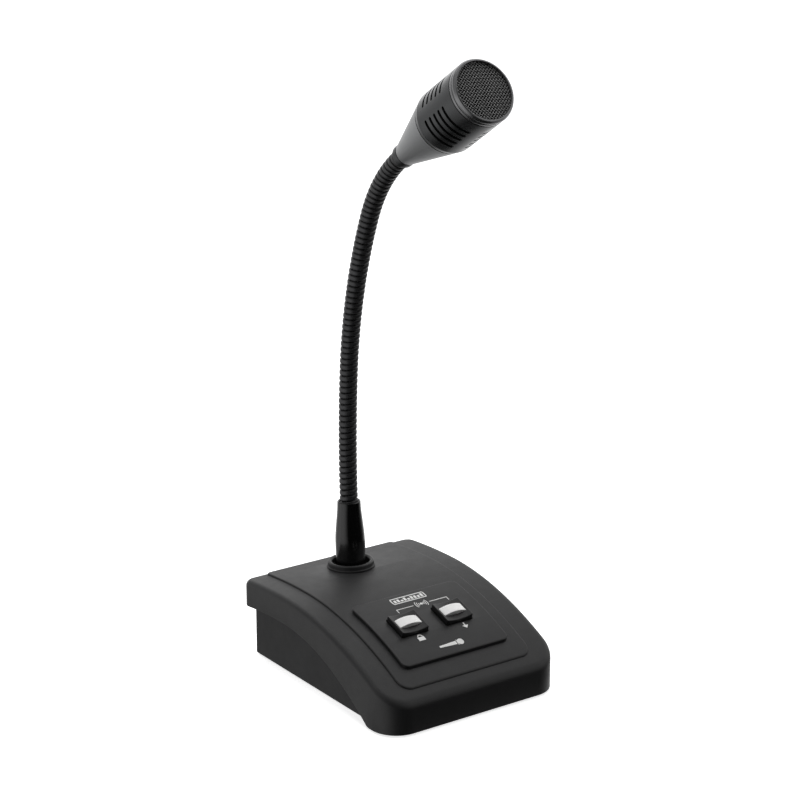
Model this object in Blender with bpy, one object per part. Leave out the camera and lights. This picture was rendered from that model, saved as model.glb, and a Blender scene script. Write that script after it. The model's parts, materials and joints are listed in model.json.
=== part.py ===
"""Desk gooseneck microphone with two talk keys, as separate pieces. Metres, +Z up, front at -Y.

The origin is at the middle of the whole microphone's footprint, on the desk. Most sizes below are
measured in a frame whose origin is at the middle of the base: the empty base_frame holds it.
"""

import math

import bmesh
import bpy
from mathutils import Matrix, Vector

# Frame
BASE_SHIFT_Y = 0.00505  # middle of the base, behind the middle of the whole footprint
CLEARANCE = 0.0003  # between pieces that touch

# Base
BASE_WIDTH = 0.120
BASE_DEPTH = 0.150
FRONT_CORNER = 0.0166
REAR_CORNER = 0.0067
FRONT_HEIGHT = 0.0188
CROWN_HEIGHT = 0.0492
CROWN_Y = 0.030
REAR_HEIGHT = 0.0467
EDGE_FILLET = 0.0034
COVER_WALL = 0.0025
SKIRT_TOP = 0.0336
SKIRT_CREST_Y = 0.032
SKIRT_FRONT_CURVE = 4.44  # drop per square metre towards the front
SKIRT_REAR_CURVE = 1.7
GROUND_GAP = 0.0010

# Plateau and control panel
PLATEAU_RISE = 0.0010
PLATEAU_HALF_WIDTH = 0.045
PLATEAU_FRONT_Y = -0.067
PLATEAU_REAR_Y = 0.0725
PANEL_HALF_WIDTH = 0.0364
PANEL_HALF_DEPTH = 0.0268
PANEL_Y = -0.0294
PANEL_RISE = 0.0031
PANEL_CORNER = 0.0040

# Keys, measured from the panel's top surface
KEY_X = 0.0154
KEY_WIDTH = 0.0180
KEY_DEPTH = 0.0162
KEY_RISE = 0.0032
KEY_DISH = 0.0013
KEY_SKIRT = 0.0090
KEY_STEM = 0.0060
STEM_LENGTH = 0.0060
WINDOW_GAP = 0.0004
CAP_WIDTH = 0.0150
CAP_DEPTH = 0.0066
CAP_CREST = 0.0042
CAP_SHOULDER = 0.0027
CAP_SEAT = 0.0008

# Switches and board, under the panel
SWITCH_SIDE = 0.0140
SWITCH_TOP = -0.0123
SWITCH_BOTTOM = -0.0220
BOARD_WIDTH = 0.0680
BOARD_DEPTH = 0.0340
BOARD_THICK = 0.0016
BOARD_BOSS_X = 0.0290

# Lower housing, base plate, weight and feet
HOUSING_INSET = 0.0055
HOUSING_WALL = 0.0025
HOUSING_LEDGE = 0.0025
PLATE_BOTTOM = 0.0022
PLATE_THICK = 0.0012
BOSS_X = 0.0450
BOSS_Y = 0.0570
BOSS_RADIUS = 0.0035
FOOT_X = 0.0430
FOOT_Y = 0.0420
FOOT_RADIUS = 0.0060
WEIGHT_SIZE = (0.0780, 0.0880, 0.0080)
WEIGHT_Y = -0.0160
OUTLET_HEIGHT = 0.0140
OUTLET_BORE = 0.0032

# Neck
# It stands square to the deck; heights here are above the deck, along its lower axis
NECK_Y = 0.04973
NECK_LEAN = math.radians(2.49)  # backwards
NECK_RADIUS = 0.0054
NECK_BORE = 0.0019
NECK_FOOT = -0.0180
FIRST_JOINT = 0.0422
NECK_BENDS = ((0.7140, 6.15), (0.3082, 18.45), (0.0857, 34.81))  # radius, angle
SEGMENTS = 8
BALL_GAP = 0.0003
CUP_RIM = 0.0022
BOOT_TOP = 0.0402
BRACKET_TOP = -0.0078

# Head, along its own axis, from the joint between cone and body
HEAD_START = 0.0437
CONE_REAR = 0.0405
CONE_REAR_RADIUS = 0.0067
CONE_FRONT_RADIUS = 0.0173
HEAD_RADIUS = 0.0183
HEAD_WALL = 0.0019
BODY_FRONT = 0.0366
RING_FRONT = 0.0420
MESH_RADIUS = 0.0165
SLOT_FIRST = 0.0095
SLOT_PITCH = 0.00445
SLOT_WIDTH = 0.0017
SLOT_COUNT = 5
SLOT_GROUPS = 4
SLOT_ARC = 67.0
SLOT_START = -178.5

# Facets
ROUND = 24
NECK_ROUND = 12
HEAD_ROUND = 40
SMALL_ROUND = 12
CORNER_STEPS = 5
SIDE_STEPS = 14

FINISHES = {
    "black_abs": ((0.020, 0.020, 0.021), 0.52, 0.0),
    "panel_satin": ((0.014, 0.014, 0.015), 0.40, 0.0),
    "key_black": ((0.012, 0.012, 0.012), 0.36, 0.0),
    "key_white": ((0.78, 0.78, 0.76), 0.34, 0.0),
    "gloss_black": ((0.008, 0.008, 0.008), 0.14, 0.0),
    "neck_black": ((0.026, 0.026, 0.026), 0.38, 0.6),
    "head_satin": ((0.055, 0.057, 0.060), 0.33, 0.7),
    "mesh_steel": ((0.10, 0.10, 0.10), 0.40, 0.9),
    "steel": ((0.45, 0.45, 0.46), 0.35, 1.0),
    "brass": ((0.66, 0.50, 0.22), 0.30, 1.0),
    "rubber": ((0.015, 0.015, 0.015), 0.80, 0.0),
    "foam": ((0.012, 0.012, 0.012), 0.95, 0.0),
    "board_green": ((0.02, 0.13, 0.06), 0.45, 0.0),
    "winding_copper": ((0.62, 0.28, 0.12), 0.40, 0.8),
}


def clear_scene():
    for obj in list(bpy.data.objects):
        bpy.data.objects.remove(obj, do_unlink=True)


def finish_of(slot):
    """The slot's material, made on first use."""
    known = bpy.data.materials.get(slot)
    if known:
        return known
    colour, roughness, metallic = FINISHES[slot]
    made = bpy.data.materials.new(slot)
    made.use_nodes = True
    shader = made.node_tree.nodes["Principled BSDF"]
    shader.inputs["Base Color"].default_value = (*colour, 1.0)
    shader.inputs["Roughness"].default_value = roughness
    shader.inputs["Metallic"].default_value = metallic
    return made


def empty(name, parent=None, location=(0, 0, 0), rotation=(0, 0, 0)):
    holder = bpy.data.objects.new(name, None)
    bpy.context.scene.collection.objects.link(holder)
    place(holder, parent, location, rotation)
    return holder


def place(obj, parent, location, rotation):
    obj.parent = parent
    obj.location = location
    obj.rotation_euler = rotation


def add_piece(name, mesh, slot, parent, location=(0, 0, 0), rotation=(0, 0, 0), smooth=None):
    """A named object of this mesh. smooth is the angle in degrees above which an edge stays sharp."""
    if slot:
        mesh.materials.append(finish_of(slot))
    if smooth:
        mesh.shade_smooth()
        mesh.set_sharp_from_angle(angle=math.radians(smooth))
    obj = bpy.data.objects.new(name, mesh)
    bpy.context.scene.collection.objects.link(obj)
    place(obj, parent, location, rotation)
    return obj


def mesh_of(name, bm):
    bmesh.ops.recalc_face_normals(bm, faces=bm.faces)
    mesh = bpy.data.meshes.new(name)
    bm.to_mesh(mesh)
    bm.free()
    return mesh


def boolean(obj, other, operation):
    """Adds a Boolean modifier, and hides the tool object from the render."""
    modifier = obj.modifiers.new(operation.lower(), "BOOLEAN")
    modifier.operation = operation
    modifier.object = other
    other.hide_render = True
    other.display_type = "WIRE"


def bevel(obj, width, segments=1, angle=40):
    modifier = obj.modifiers.new("edges", "BEVEL")
    modifier.width = width
    modifier.segments = segments
    modifier.limit_method = "ANGLE"
    modifier.angle_limit = math.radians(angle)


def box_mesh(name, size, centre=(0, 0, 0)):
    bm = bmesh.new()
    bmesh.ops.create_cube(bm, size=1.0)
    bmesh.ops.scale(bm, vec=size, verts=bm.verts)
    bmesh.ops.translate(bm, vec=centre, verts=bm.verts)
    return mesh_of(name, bm)


def rod_mesh(name, radius, bottom, top, sides=ROUND):
    """An upright cylinder between two heights."""
    bm = bmesh.new()
    bmesh.ops.create_cone(
        bm,
        cap_ends=True,
        segments=sides,
        radius1=radius,
        radius2=radius,
        depth=top - bottom,
        matrix=Matrix.Translation((0, 0, (top + bottom) / 2)),
    )
    return mesh_of(name, bm)


def turned(name, profile, slot, parent, location=(0, 0, 0), rotation=(0, 0, 0), sides=ROUND):
    """A piece turned about its own Z. profile is (radius, height), down its outer side first."""
    mesh = bpy.data.meshes.new(name)
    points = [(radius, 0.0, height) for radius, height in profile]
    edges = [(index, index + 1) for index in range(len(points) - 1)]
    if profile[0][0] > 0 or profile[-1][0] > 0:
        edges.append((len(points) - 1, 0))
    mesh.from_pydata(points, edges, [])
    obj = add_piece(name, mesh, slot, parent, location, rotation)
    screw = obj.modifiers.new("turn", "SCREW")
    screw.axis = "Z"
    screw.angle = math.tau
    screw.steps = sides
    screw.render_steps = sides
    screw.use_merge_vertices = True
    screw.merge_threshold = 0.00001
    screw.use_smooth_shade = True
    return obj


def loft(name, loops, slot, parent, capped=False, smooth=35):
    """Skins consecutive loops of points. A capped loft closes both ends with a ladder of quads
    between each loop's two mirrored halves; the others close on themselves."""
    bm = bmesh.new()
    rows = [[bm.verts.new(point) for point in loop] for loop in loops]
    count = len(rows[0])
    pairs = list(zip(rows, rows[1:]))
    if not capped:
        pairs.append((rows[-1], rows[0]))
    for lower, upper in pairs:
        for index in range(count):
            after = (index + 1) % count
            bm.faces.new((lower[index], lower[after], upper[after], upper[index]))
    if capped:
        for row in (rows[0], rows[-1]):
            for index in range(count // 2 - 1):
                far = count - 1 - index
                bm.faces.new((row[index], row[index + 1], row[far - 1], row[far]))
    return add_piece(name, mesh_of(name, bm), slot, parent, smooth=smooth)


# Shape of the base


def deck_height(y):
    """Height of the cover's margin: a parabola each side of the crown."""
    if y < CROWN_Y:
        share = (CROWN_Y - y) / (CROWN_Y + BASE_DEPTH / 2)
        return CROWN_HEIGHT - (CROWN_HEIGHT - FRONT_HEIGHT) * share**2
    share = (y - CROWN_Y) / (BASE_DEPTH / 2 - CROWN_Y)
    return CROWN_HEIGHT - (CROWN_HEIGHT - REAR_HEIGHT) * share**2


def deck_slope(y):
    step = 0.0005
    return math.atan2(deck_height(y + step) - deck_height(y - step), 2 * step)


def skirt_height(y):
    """Lower edge of the cover: it follows the arch and ends just above the desk at the front."""
    curve = SKIRT_FRONT_CURVE if y < SKIRT_CREST_Y else SKIRT_REAR_CURVE
    return max(GROUND_GAP, SKIRT_TOP - curve * (y - SKIRT_CREST_Y) ** 2)


def half_outline(half_width, front, rear, front_radius, rear_radius, inset=0.0):
    """Right half of a rounded rectangle, from its front edge to its rear edge."""
    wide = half_width - inset
    front += inset
    rear -= inset
    front_radius = max(front_radius - inset, 0.0004)
    rear_radius = max(rear_radius - inset, 0.0004)
    points = []
    for step in range(CORNER_STEPS + 1):
        turn = math.radians(90 * step / CORNER_STEPS)
        across = wide - front_radius + front_radius * math.sin(turn)
        points.append((across, front + front_radius - front_radius * math.cos(turn)))
    start = front + front_radius
    length = rear - rear_radius - start
    for step in range(1, SIDE_STEPS):
        points.append((wide, start + length * step / SIDE_STEPS))
    for step in range(CORNER_STEPS + 1):
        turn = math.radians(90 * step / CORNER_STEPS)
        across = wide - rear_radius + rear_radius * math.cos(turn)
        points.append((across, rear - rear_radius + rear_radius * math.sin(turn)))
    return points


def loop_of(outline, height):
    """Both halves of the outline at the height that the function gives for each y."""
    right = [Vector((x, y, height(y))) for x, y in outline]
    left = [Vector((-x, y, height(y))) for x, y in reversed(outline)]
    return right + left


def base_loop(inset, height):
    half_depth = BASE_DEPTH / 2
    outline = half_outline(
        BASE_WIDTH / 2, -half_depth, half_depth, FRONT_CORNER, REAR_CORNER, inset
    )
    return loop_of(outline, height)


def level(value):
    return lambda y: value


def above_deck(rise):
    return lambda y: deck_height(y) + rise


def rounded_slab(name, outline_at, bottom, top, fillet, slot, parent):
    """A slab between two heights over the deck, with its upper edge rounded."""
    loops = [loop_of(outline_at(0.0), above_deck(bottom))]
    for step in range(4):
        turn = math.radians(30 * step)
        inset = fillet * (1 - math.cos(turn))
        rise = top - fillet * (1 - math.sin(turn))
        loops.append(loop_of(outline_at(inset), above_deck(rise)))
    return loft(name, loops, slot, parent, capped=True)


def boss_under_deck(y):
    """An upright boss at this y whose top ends inside the cover's wall, however the deck slopes."""
    mesh = rod_mesh("boss", BOSS_RADIUS, 0.0040, CROWN_HEIGHT, SMALL_ROUND)
    for vertex in mesh.vertices:
        if vertex.co.z > 0.0050:
            vertex.co.z = deck_height(y + vertex.co.y) - COVER_WALL / 2
    return mesh


def make_cover(base, panel, neck):
    """The arched cover, with its plateau, bosses, key openings and neck hole."""
    loops = [base_loop(COVER_WALL, above_deck(-COVER_WALL)), base_loop(COVER_WALL, skirt_height)]
    loops.append(base_loop(0.0, skirt_height))
    for step in range(5):
        turn = math.radians(22.5 * step)
        inset = EDGE_FILLET * (1 - math.cos(turn))
        loops.append(base_loop(inset, above_deck(-EDGE_FILLET * (1 - math.sin(turn)))))
    cover = loft("top_cover", loops, "black_abs", base, capped=True)

    def plateau_outline(inset):
        return half_outline(
            PLATEAU_HALF_WIDTH, PLATEAU_FRONT_Y, PLATEAU_REAR_Y, 0.007, 0.003, inset
        )

    plateau = rounded_slab(
        "plateau", plateau_outline, -0.0012, PLATEAU_RISE, 0.0008, None, base
    )
    boolean(cover, plateau, "UNION")
    for side in (-1, 1):
        for end in (-1, 1):
            where = (side * BOSS_X, end * BOSS_Y, 0)
            boss_mesh = boss_under_deck(end * BOSS_Y)
            boolean(cover, add_piece("boss", boss_mesh, None, base, where), "UNION")
            hole_mesh = rod_mesh("pilot", 0.00175, 0.0, 0.0140, SMALL_ROUND)
            boolean(cover, add_piece("pilot", hole_mesh, None, base, where), "DIFFERENCE")
        rod = rod_mesh("board_boss", 0.0030, SWITCH_BOTTOM + CLEARANCE, -0.0042, SMALL_ROUND)
        boss = add_piece("board_boss", rod, None, panel, (side * BOARD_BOSS_X, 0, 0))
        boolean(cover, boss, "UNION")
        rod = rod_mesh("bracket_boss", 0.0035, BRACKET_TOP + CLEARANCE, -0.0024, SMALL_ROUND)
        boss = add_piece("bracket_boss", rod, None, neck, (side * 0.020, 0, 0))
        boolean(cover, boss, "UNION")
        opening = box_mesh("key_opening", (KEY_WIDTH + 0.0024, KEY_DEPTH + 0.0024, 0.024))
        cutter = add_piece("key_opening", opening, None, panel, (side * KEY_X, 0, 0))
        boolean(cover, cutter, "DIFFERENCE")
    hole = rod_mesh("neck_opening", 0.0123, -0.010, 0.010)
    boolean(cover, add_piece("neck_opening", hole, None, neck), "DIFFERENCE")
    return cover


def make_housing(base):
    """The recessed side walls, with a ledge inside that the base plate closes against."""
    inner = HOUSING_INSET + HOUSING_WALL
    ledge_bottom = PLATE_BOTTOM + PLATE_THICK + CLEARANCE
    ledge_top = ledge_bottom + 0.0015
    loops = [
        base_loop(HOUSING_INSET, level(GROUND_GAP)),
        base_loop(HOUSING_INSET, above_deck(-0.0034)),
        base_loop(inner, above_deck(-0.0034)),
        base_loop(inner, level(ledge_top)),
        base_loop(inner + HOUSING_LEDGE, level(ledge_top)),
        base_loop(inner + HOUSING_LEDGE, level(ledge_bottom)),
        base_loop(inner, level(ledge_bottom)),
        base_loop(inner, level(GROUND_GAP)),
    ]
    housing = loft("lower_housing", loops, "black_abs", base)
    wall_y = BASE_DEPTH / 2 - HOUSING_INSET
    hole = rod_mesh("outlet", 0.0049, -0.008, 0.008, 24)
    where = (0, wall_y, OUTLET_HEIGHT)
    boolean(housing, add_piece("outlet", hole, None, base, where, (math.pi / 2, 0, 0)), "DIFFERENCE")


def make_grommet(base):
    """The cable outlet: an outer flange, a waist in the rear wall's hole and an inner flange."""
    wall = BASE_DEPTH / 2 - HOUSING_INSET
    inner = -HOUSING_WALL - CLEARANCE
    profile = [
        (0.0050, 0.0040),
        (0.0060, 0.0032),
        (0.0066, CLEARANCE),
        (0.0046, CLEARANCE),
        (0.0046, inner),
        (0.0060, inner),
        (0.0060, inner - 0.0016),
        (OUTLET_BORE, inner - 0.0016),
        (OUTLET_BORE, 0.0040),
    ]
    turned(
        "cable_grommet",
        profile,
        "rubber",
        base,
        (0, wall, OUTLET_HEIGHT),
        (-math.pi / 2, 0, 0),
        24,
    )


def make_floor(base):
    """Base plate, weight, feet and screws."""
    inset = HOUSING_INSET + HOUSING_WALL + CLEARANCE
    loops = [
        base_loop(inset, level(PLATE_BOTTOM)),
        base_loop(inset, level(PLATE_BOTTOM + PLATE_THICK)),
    ]
    plate = loft("base_plate", loops, "steel", base, capped=True)
    weight_bottom = PLATE_BOTTOM + PLATE_THICK + CLEARANCE
    mesh = box_mesh("ballast_weight", WEIGHT_SIZE)
    centre_z = weight_bottom + WEIGHT_SIZE[2] / 2
    weight = add_piece("ballast_weight", mesh, "steel", base, (0, WEIGHT_Y, centre_z))
    bevel(weight, 0.0015)
    number = 0
    for side in (-1, 1):
        for end in (-1, 1):
            number += 1
            foot_top = PLATE_BOTTOM - CLEARANCE
            foot = [(0, foot_top), (FOOT_RADIUS, foot_top), (FOOT_RADIUS, 0.0005)]
            foot += [(FOOT_RADIUS - 0.0005, 0), (0, 0)]
            foot_place = (side * FOOT_X, end * FOOT_Y, 0)
            turned(f"rubber_foot_{number}", foot, "rubber", base, foot_place, sides=16)
            place_screw = (side * BOSS_X, end * BOSS_Y, 0)
            hole = rod_mesh("screw_hole", 0.0019, 0.0, 0.006, SMALL_ROUND)
            boolean(plate, add_piece("screw_hole", hole, None, base, place_screw), "DIFFERENCE")
            head = PLATE_BOTTOM - CLEARANCE
            make_screw(f"base_screw_{number}", base, place_screw, head, 0.0010, 0.0115)


def make_screw(name, parent, location, head_top, head_height, tip):
    """A pan-head screw that is driven upwards, with a cross recess in its head."""
    profile = [
        (0, tip),
        (0.0010, tip),
        (0.0014, tip - 0.0008),
        (0.0014, head_top),
        (0.0028, head_top),
        (0.0025, head_top - head_height),
        (0, head_top - head_height),
    ]
    screw = turned(name, profile, "steel", parent, location, sides=SMALL_ROUND)
    for turn in (0, math.pi / 2):
        blade = box_mesh("recess", (0.0030, 0.0007, 0.0010))
        where = (location[0], location[1], location[2] + head_top - head_height)
        cutter = add_piece("recess", blade, None, parent, where, (0, 0, turn))
        boolean(screw, cutter, "DIFFERENCE")


def make_panel(base, panel):
    def outline_at(inset):
        front = PANEL_Y - PANEL_HALF_DEPTH
        rear = PANEL_Y + PANEL_HALF_DEPTH
        return half_outline(PANEL_HALF_WIDTH, front, rear, PANEL_CORNER, PANEL_CORNER, inset)

    plate = rounded_slab(
        "control_panel",
        outline_at,
        PLATEAU_RISE + CLEARANCE,
        PANEL_RISE,
        0.0007,
        "panel_satin",
        base,
    )
    for side in (-1, 1):
        size = (KEY_WIDTH + 2 * WINDOW_GAP, KEY_DEPTH + 2 * WINDOW_GAP, 0.012)
        window = box_mesh("key_window", size)
        cutter = add_piece("key_window", window, None, panel, (side * KEY_X, 0, 0))
        boolean(plate, cutter, "DIFFERENCE")


def extruded(name, profile, depth, slot, parent, smooth=None):
    """Extrudes a closed (x, z) profile along Y, centred."""
    bm = bmesh.new()
    face = bm.faces.new([bm.verts.new((x, -depth / 2, z)) for x, z in profile])
    swept = bmesh.ops.extrude_face_region(bm, geom=[face])
    verts = [item for item in swept["geom"] if isinstance(item, bmesh.types.BMVert)]
    bmesh.ops.translate(bm, vec=(0, depth, 0), verts=verts)
    return add_piece(name, mesh_of(name, bm), slot, parent, smooth=smooth)


def arc_points(half_width, ends, middle, steps=10):
    """Points of a shallow arc from +half_width to -half_width, given its two heights."""
    sag = middle - ends
    radius = (half_width**2 + sag**2) / (2 * abs(sag))
    points = []
    for step in range(steps + 1):
        x = half_width * (1 - 2 * step / steps)
        drop = radius - math.sqrt(radius**2 - x**2)
        points.append((x, middle - math.copysign(drop, sag)))
    return points


def make_key(name, holder):
    """A black key with a dished top and a stem, and the white insert in its pocket."""
    half = KEY_WIDTH / 2
    profile = [(-half, -KEY_SKIRT), (half, -KEY_SKIRT)]
    profile += arc_points(half, KEY_RISE, KEY_RISE - KEY_DISH)
    key = extruded(name, profile, KEY_DEPTH, "key_black", holder, smooth=30)
    stem_size = (KEY_STEM, KEY_STEM, STEM_LENGTH + 0.001)
    stem_centre = (0, 0, -KEY_SKIRT - STEM_LENGTH / 2 + 0.0005)
    stem = add_piece("stem", box_mesh("stem", stem_size, stem_centre), None, holder)
    boolean(key, stem, "UNION")
    pocket_size = (CAP_WIDTH + 2 * CLEARANCE, CAP_DEPTH + 2 * CLEARANCE, 0.010)
    pocket_mesh = box_mesh("pocket", pocket_size, (0, 0, CAP_SEAT + 0.005))
    boolean(key, add_piece("pocket", pocket_mesh, None, holder), "DIFFERENCE")
    wide = CAP_WIDTH / 2
    lens = [(-wide, CAP_SEAT + CLEARANCE), (wide, CAP_SEAT + CLEARANCE)]
    lens += arc_points(wide, CAP_SHOULDER, CAP_CREST)
    extruded(f"{name}_cap", lens, CAP_DEPTH, "key_white", holder, smooth=30)


def make_switch(name, panel, x):
    height = SWITCH_TOP - SWITCH_BOTTOM
    centre = (0, 0, SWITCH_BOTTOM + height / 2)
    mesh = box_mesh(name, (SWITCH_SIDE, SWITCH_SIDE, height), centre)
    switch = add_piece(name, mesh, "gloss_black", panel, (x, 0, 0))
    side = KEY_STEM + 0.0008
    well_mesh = box_mesh("well", (side, side, 0.012), (0, 0, -0.0184 + 0.006))
    boolean(switch, add_piece("well", well_mesh, None, panel, (x, 0, 0)), "DIFFERENCE")


def make_board(panel):
    top = SWITCH_BOTTOM - CLEARANCE
    centre = (0, 0, top - BOARD_THICK / 2)
    mesh = box_mesh("switch_board", (BOARD_WIDTH, BOARD_DEPTH, BOARD_THICK), centre)
    board = add_piece("switch_board", mesh, "board_green", panel)
    for number, side in enumerate((-1, 1), 1):
        where = (side * BOARD_BOSS_X, 0, 0)
        hole = rod_mesh("board_hole", 0.0018, top - 0.004, top + 0.002, SMALL_ROUND)
        boolean(board, add_piece("board_hole", hole, None, panel, where), "DIFFERENCE")
        head_top = top - BOARD_THICK - CLEARANCE
        make_screw(f"board_screw_{number}", panel, where, head_top, 0.0012, top)


# Neck


def neck_at(distance):
    """Point and lean from the vertical, at this distance along the neck from its first joint."""
    lean = -NECK_LEAN
    along = Vector((0, -math.sin(lean), math.cos(lean)))
    point = Vector((0, NECK_Y, deck_height(NECK_Y) + PLATEAU_RISE)) + along * FIRST_JOINT
    left = distance
    for radius, degrees in NECK_BENDS:
        if left <= 0:
            return point, lean
        end = lean + min(left / radius, math.radians(degrees))
        point += Vector((0, math.cos(end) - math.cos(lean), math.sin(end) - math.sin(lean))) * radius
        left -= radius * math.radians(degrees)
        lean = end
    if left > 0:
        point += Vector((0, -math.sin(lean), math.cos(lean))) * left
    return point, lean


def neck_length():
    return sum(radius * math.radians(degrees) for radius, degrees in NECK_BENDS)


def neck_ring(distance, radius, along=0.0):
    """A ring round the neck's axis, moved along the tangent at that place."""
    point, lean = neck_at(distance)
    tangent = Vector((0, -math.sin(lean), math.cos(lean)))
    up = Vector((0, math.cos(lean), math.sin(lean)))
    ring = []
    for step in range(NECK_ROUND):
        turn = math.tau * step / NECK_ROUND
        side = Vector((1, 0, 0)) * math.cos(turn) + up * math.sin(turn)
        ring.append(point + tangent * along + side * radius)
    return ring


def cup_rings(distance):
    """The socket at a piece's lower end, round the joint, from its rim to the bore."""
    radius = NECK_RADIUS + BALL_GAP
    first = math.asin(CUP_RIM / radius)
    last = math.acos(NECK_BORE / radius)
    rings = [neck_ring(distance, NECK_RADIUS, CUP_RIM)]
    for step in range(3):
        turn = first + (last - first) * step / 2
        rings.append(neck_ring(distance, radius * math.cos(turn), radius * math.sin(turn)))
    return rings


def ball_rings(distance):
    """The ball at a piece's upper end, round the joint, from its equator to the bore."""
    last = math.acos(NECK_BORE / NECK_RADIUS)
    rings = []
    for step in range(4):
        turn = last * step / 3
        rings.append(neck_ring(distance, NECK_RADIUS * math.cos(turn), NECK_RADIUS * math.sin(turn)))
    return rings


def make_neck(base):
    """The wound neck as short lengths, each a ball at its top in the next one's cup."""
    total = neck_length()
    pitch = total / SEGMENTS
    for number in range(1, SEGMENTS + 1):
        start = (number - 1) * pitch
        end = number * pitch
        rings = list(reversed(cup_rings(start)))
        rings += [neck_ring(start + pitch * share, NECK_RADIUS) for share in (0.33, 0.66)]
        if number < SEGMENTS:
            rings += ball_rings(end)
        else:
            end = total + HEAD_START - CONE_REAR + 0.0035
            rings += [neck_ring(end, NECK_RADIUS - 0.0002), neck_ring(end, NECK_BORE)]
        rings += [neck_ring(start + pitch * share, NECK_BORE) for share in (0.66, 0.33)]
        loft(f"gooseneck_segment_{number}", rings, "neck_black", base)


def make_neck_foot(neck):
    """The neck's fixed lower length, which holds the first joint's ball, and what clamps it."""
    flange_bottom = BRACKET_TOP + CLEARANCE
    flange_top = flange_bottom + 0.0018
    ball = []
    last = math.acos(NECK_BORE / NECK_RADIUS)
    for step in range(3, -1, -1):
        turn = last * step / 3
        height = FIRST_JOINT + NECK_RADIUS * math.sin(turn)
        ball.append((NECK_RADIUS * math.cos(turn), height))
    profile = ball + [
        (NECK_RADIUS, flange_top),
        (0.0076, flange_top),
        (0.0076, flange_bottom),
        (0.0046, flange_bottom),
        (0.0046, NECK_FOOT),
        (NECK_BORE, NECK_FOOT),
    ]
    turned("neck_base_tube", profile, "steel", neck, sides=NECK_ROUND)
    boot = [
        (0.0066, BOOT_TOP),
        (0.0070, BOOT_TOP - 0.0007),
        (0.0073, BOOT_TOP - 0.0060),
        (0.0082, BOOT_TOP - 0.0147),
        (0.0088, BOOT_TOP - 0.0215),
        (0.0089, BOOT_TOP - 0.0270),
        (0.0088, BOOT_TOP - 0.0360),
        (0.0087, flange_top + CLEARANCE),
        (0.0058, flange_top + CLEARANCE),
        (0.0058, BOOT_TOP),
    ]
    turned("gooseneck_boot", boot, "gloss_black", neck)


def make_neck_clamp(neck):
    """Bracket, washer and lock nut under the deck, with the bracket's two screws."""
    bottom = BRACKET_TOP - 0.0020
    middle = (bottom + BRACKET_TOP) / 2
    bracket_mesh = box_mesh("neck_bracket", (0.0520, 0.0220, 0.0020), (0, 0, middle))
    bracket = add_piece("neck_bracket", bracket_mesh, "steel", neck)
    hole = rod_mesh("bracket_hole", 0.0050, bottom - 0.002, BRACKET_TOP + 0.002)
    boolean(bracket, add_piece("bracket_hole", hole, None, neck), "DIFFERENCE")
    washer_top = bottom - CLEARANCE
    washer = [(0.0080, washer_top), (0.0080, washer_top - 0.0008)]
    washer += [(0.0050, washer_top - 0.0008), (0.0050, washer_top)]
    turned("neck_washer", washer, "steel", neck, sides=16)
    nut_top = washer_top - 0.0008 - CLEARANCE
    nut_mesh = rod_mesh("neck_lock_nut", 0.0080, nut_top - 0.0040, nut_top, 6)
    nut = add_piece("neck_lock_nut", nut_mesh, "brass", neck)
    hole = rod_mesh("nut_hole", 0.0050, nut_top - 0.006, nut_top + 0.002)
    boolean(nut, add_piece("nut_hole", hole, None, neck), "DIFFERENCE")
    for number, side in enumerate((-1, 1), 1):
        spot = (side * 0.020, 0, 0)
        hole = rod_mesh("bracket_slot", 0.0018, bottom - 0.002, BRACKET_TOP + 0.002, SMALL_ROUND)
        boolean(bracket, add_piece("bracket_slot", hole, None, neck, spot), "DIFFERENCE")
        make_screw(f"bracket_screw_{number}", neck, spot, bottom - CLEARANCE, 0.0012, BRACKET_TOP)


def make_collar(neck):
    """The raised lip round the neck hole, with a sleeve down into the hole."""
    profile = [
        (0.01235, 0.00385),
        (0.01315, 0.00355),
        (0.01345, 0.00325),
        (0.01365, 0.00250),
        (0.01375, 0.00120),
        (0.01420, 0.00090),
        (0.01420, CLEARANCE),
        (0.01200, CLEARANCE),
        (0.01200, -0.00300),
        (0.01110, -0.00300),
        (0.01110, 0.00290),
    ]
    turned("collar_ring", profile, "black_abs", neck)


# Head


def make_head(base):
    end, lean = neck_at(neck_length())
    axis = Vector((0, -math.sin(lean), math.cos(lean)))
    head = empty("head_frame", base, end + axis * HEAD_START, (lean, 0, 0))
    make_cone(head)
    make_slotted_body(head)
    make_front(head)
    make_capsule(head)


def make_cone(head):
    wall = HEAD_WALL
    rear = -CONE_REAR
    cone = [
        (CONE_FRONT_RADIUS, -CLEARANCE),
        (CONE_REAR_RADIUS, rear + 0.0003),
        (CONE_REAR_RADIUS - 0.0003, rear),
        (NECK_RADIUS + 0.0004, rear),
        (NECK_RADIUS + 0.0004, rear + 0.0045),
        (CONE_FRONT_RADIUS - wall, -CLEARANCE),
    ]
    turned("head_cone", cone, "head_satin", head, sides=HEAD_ROUND)
    ferrule = [
        (0.0068, rear - CLEARANCE),
        (0.0068, rear - 0.0038),
        (0.0065, rear - 0.0042),
        (NECK_RADIUS + 0.0003, rear - 0.0042),
        (NECK_RADIUS + 0.0003, rear - CLEARANCE),
    ]
    turned("neck_ferrule", ferrule, "neck_black", head)


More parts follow.
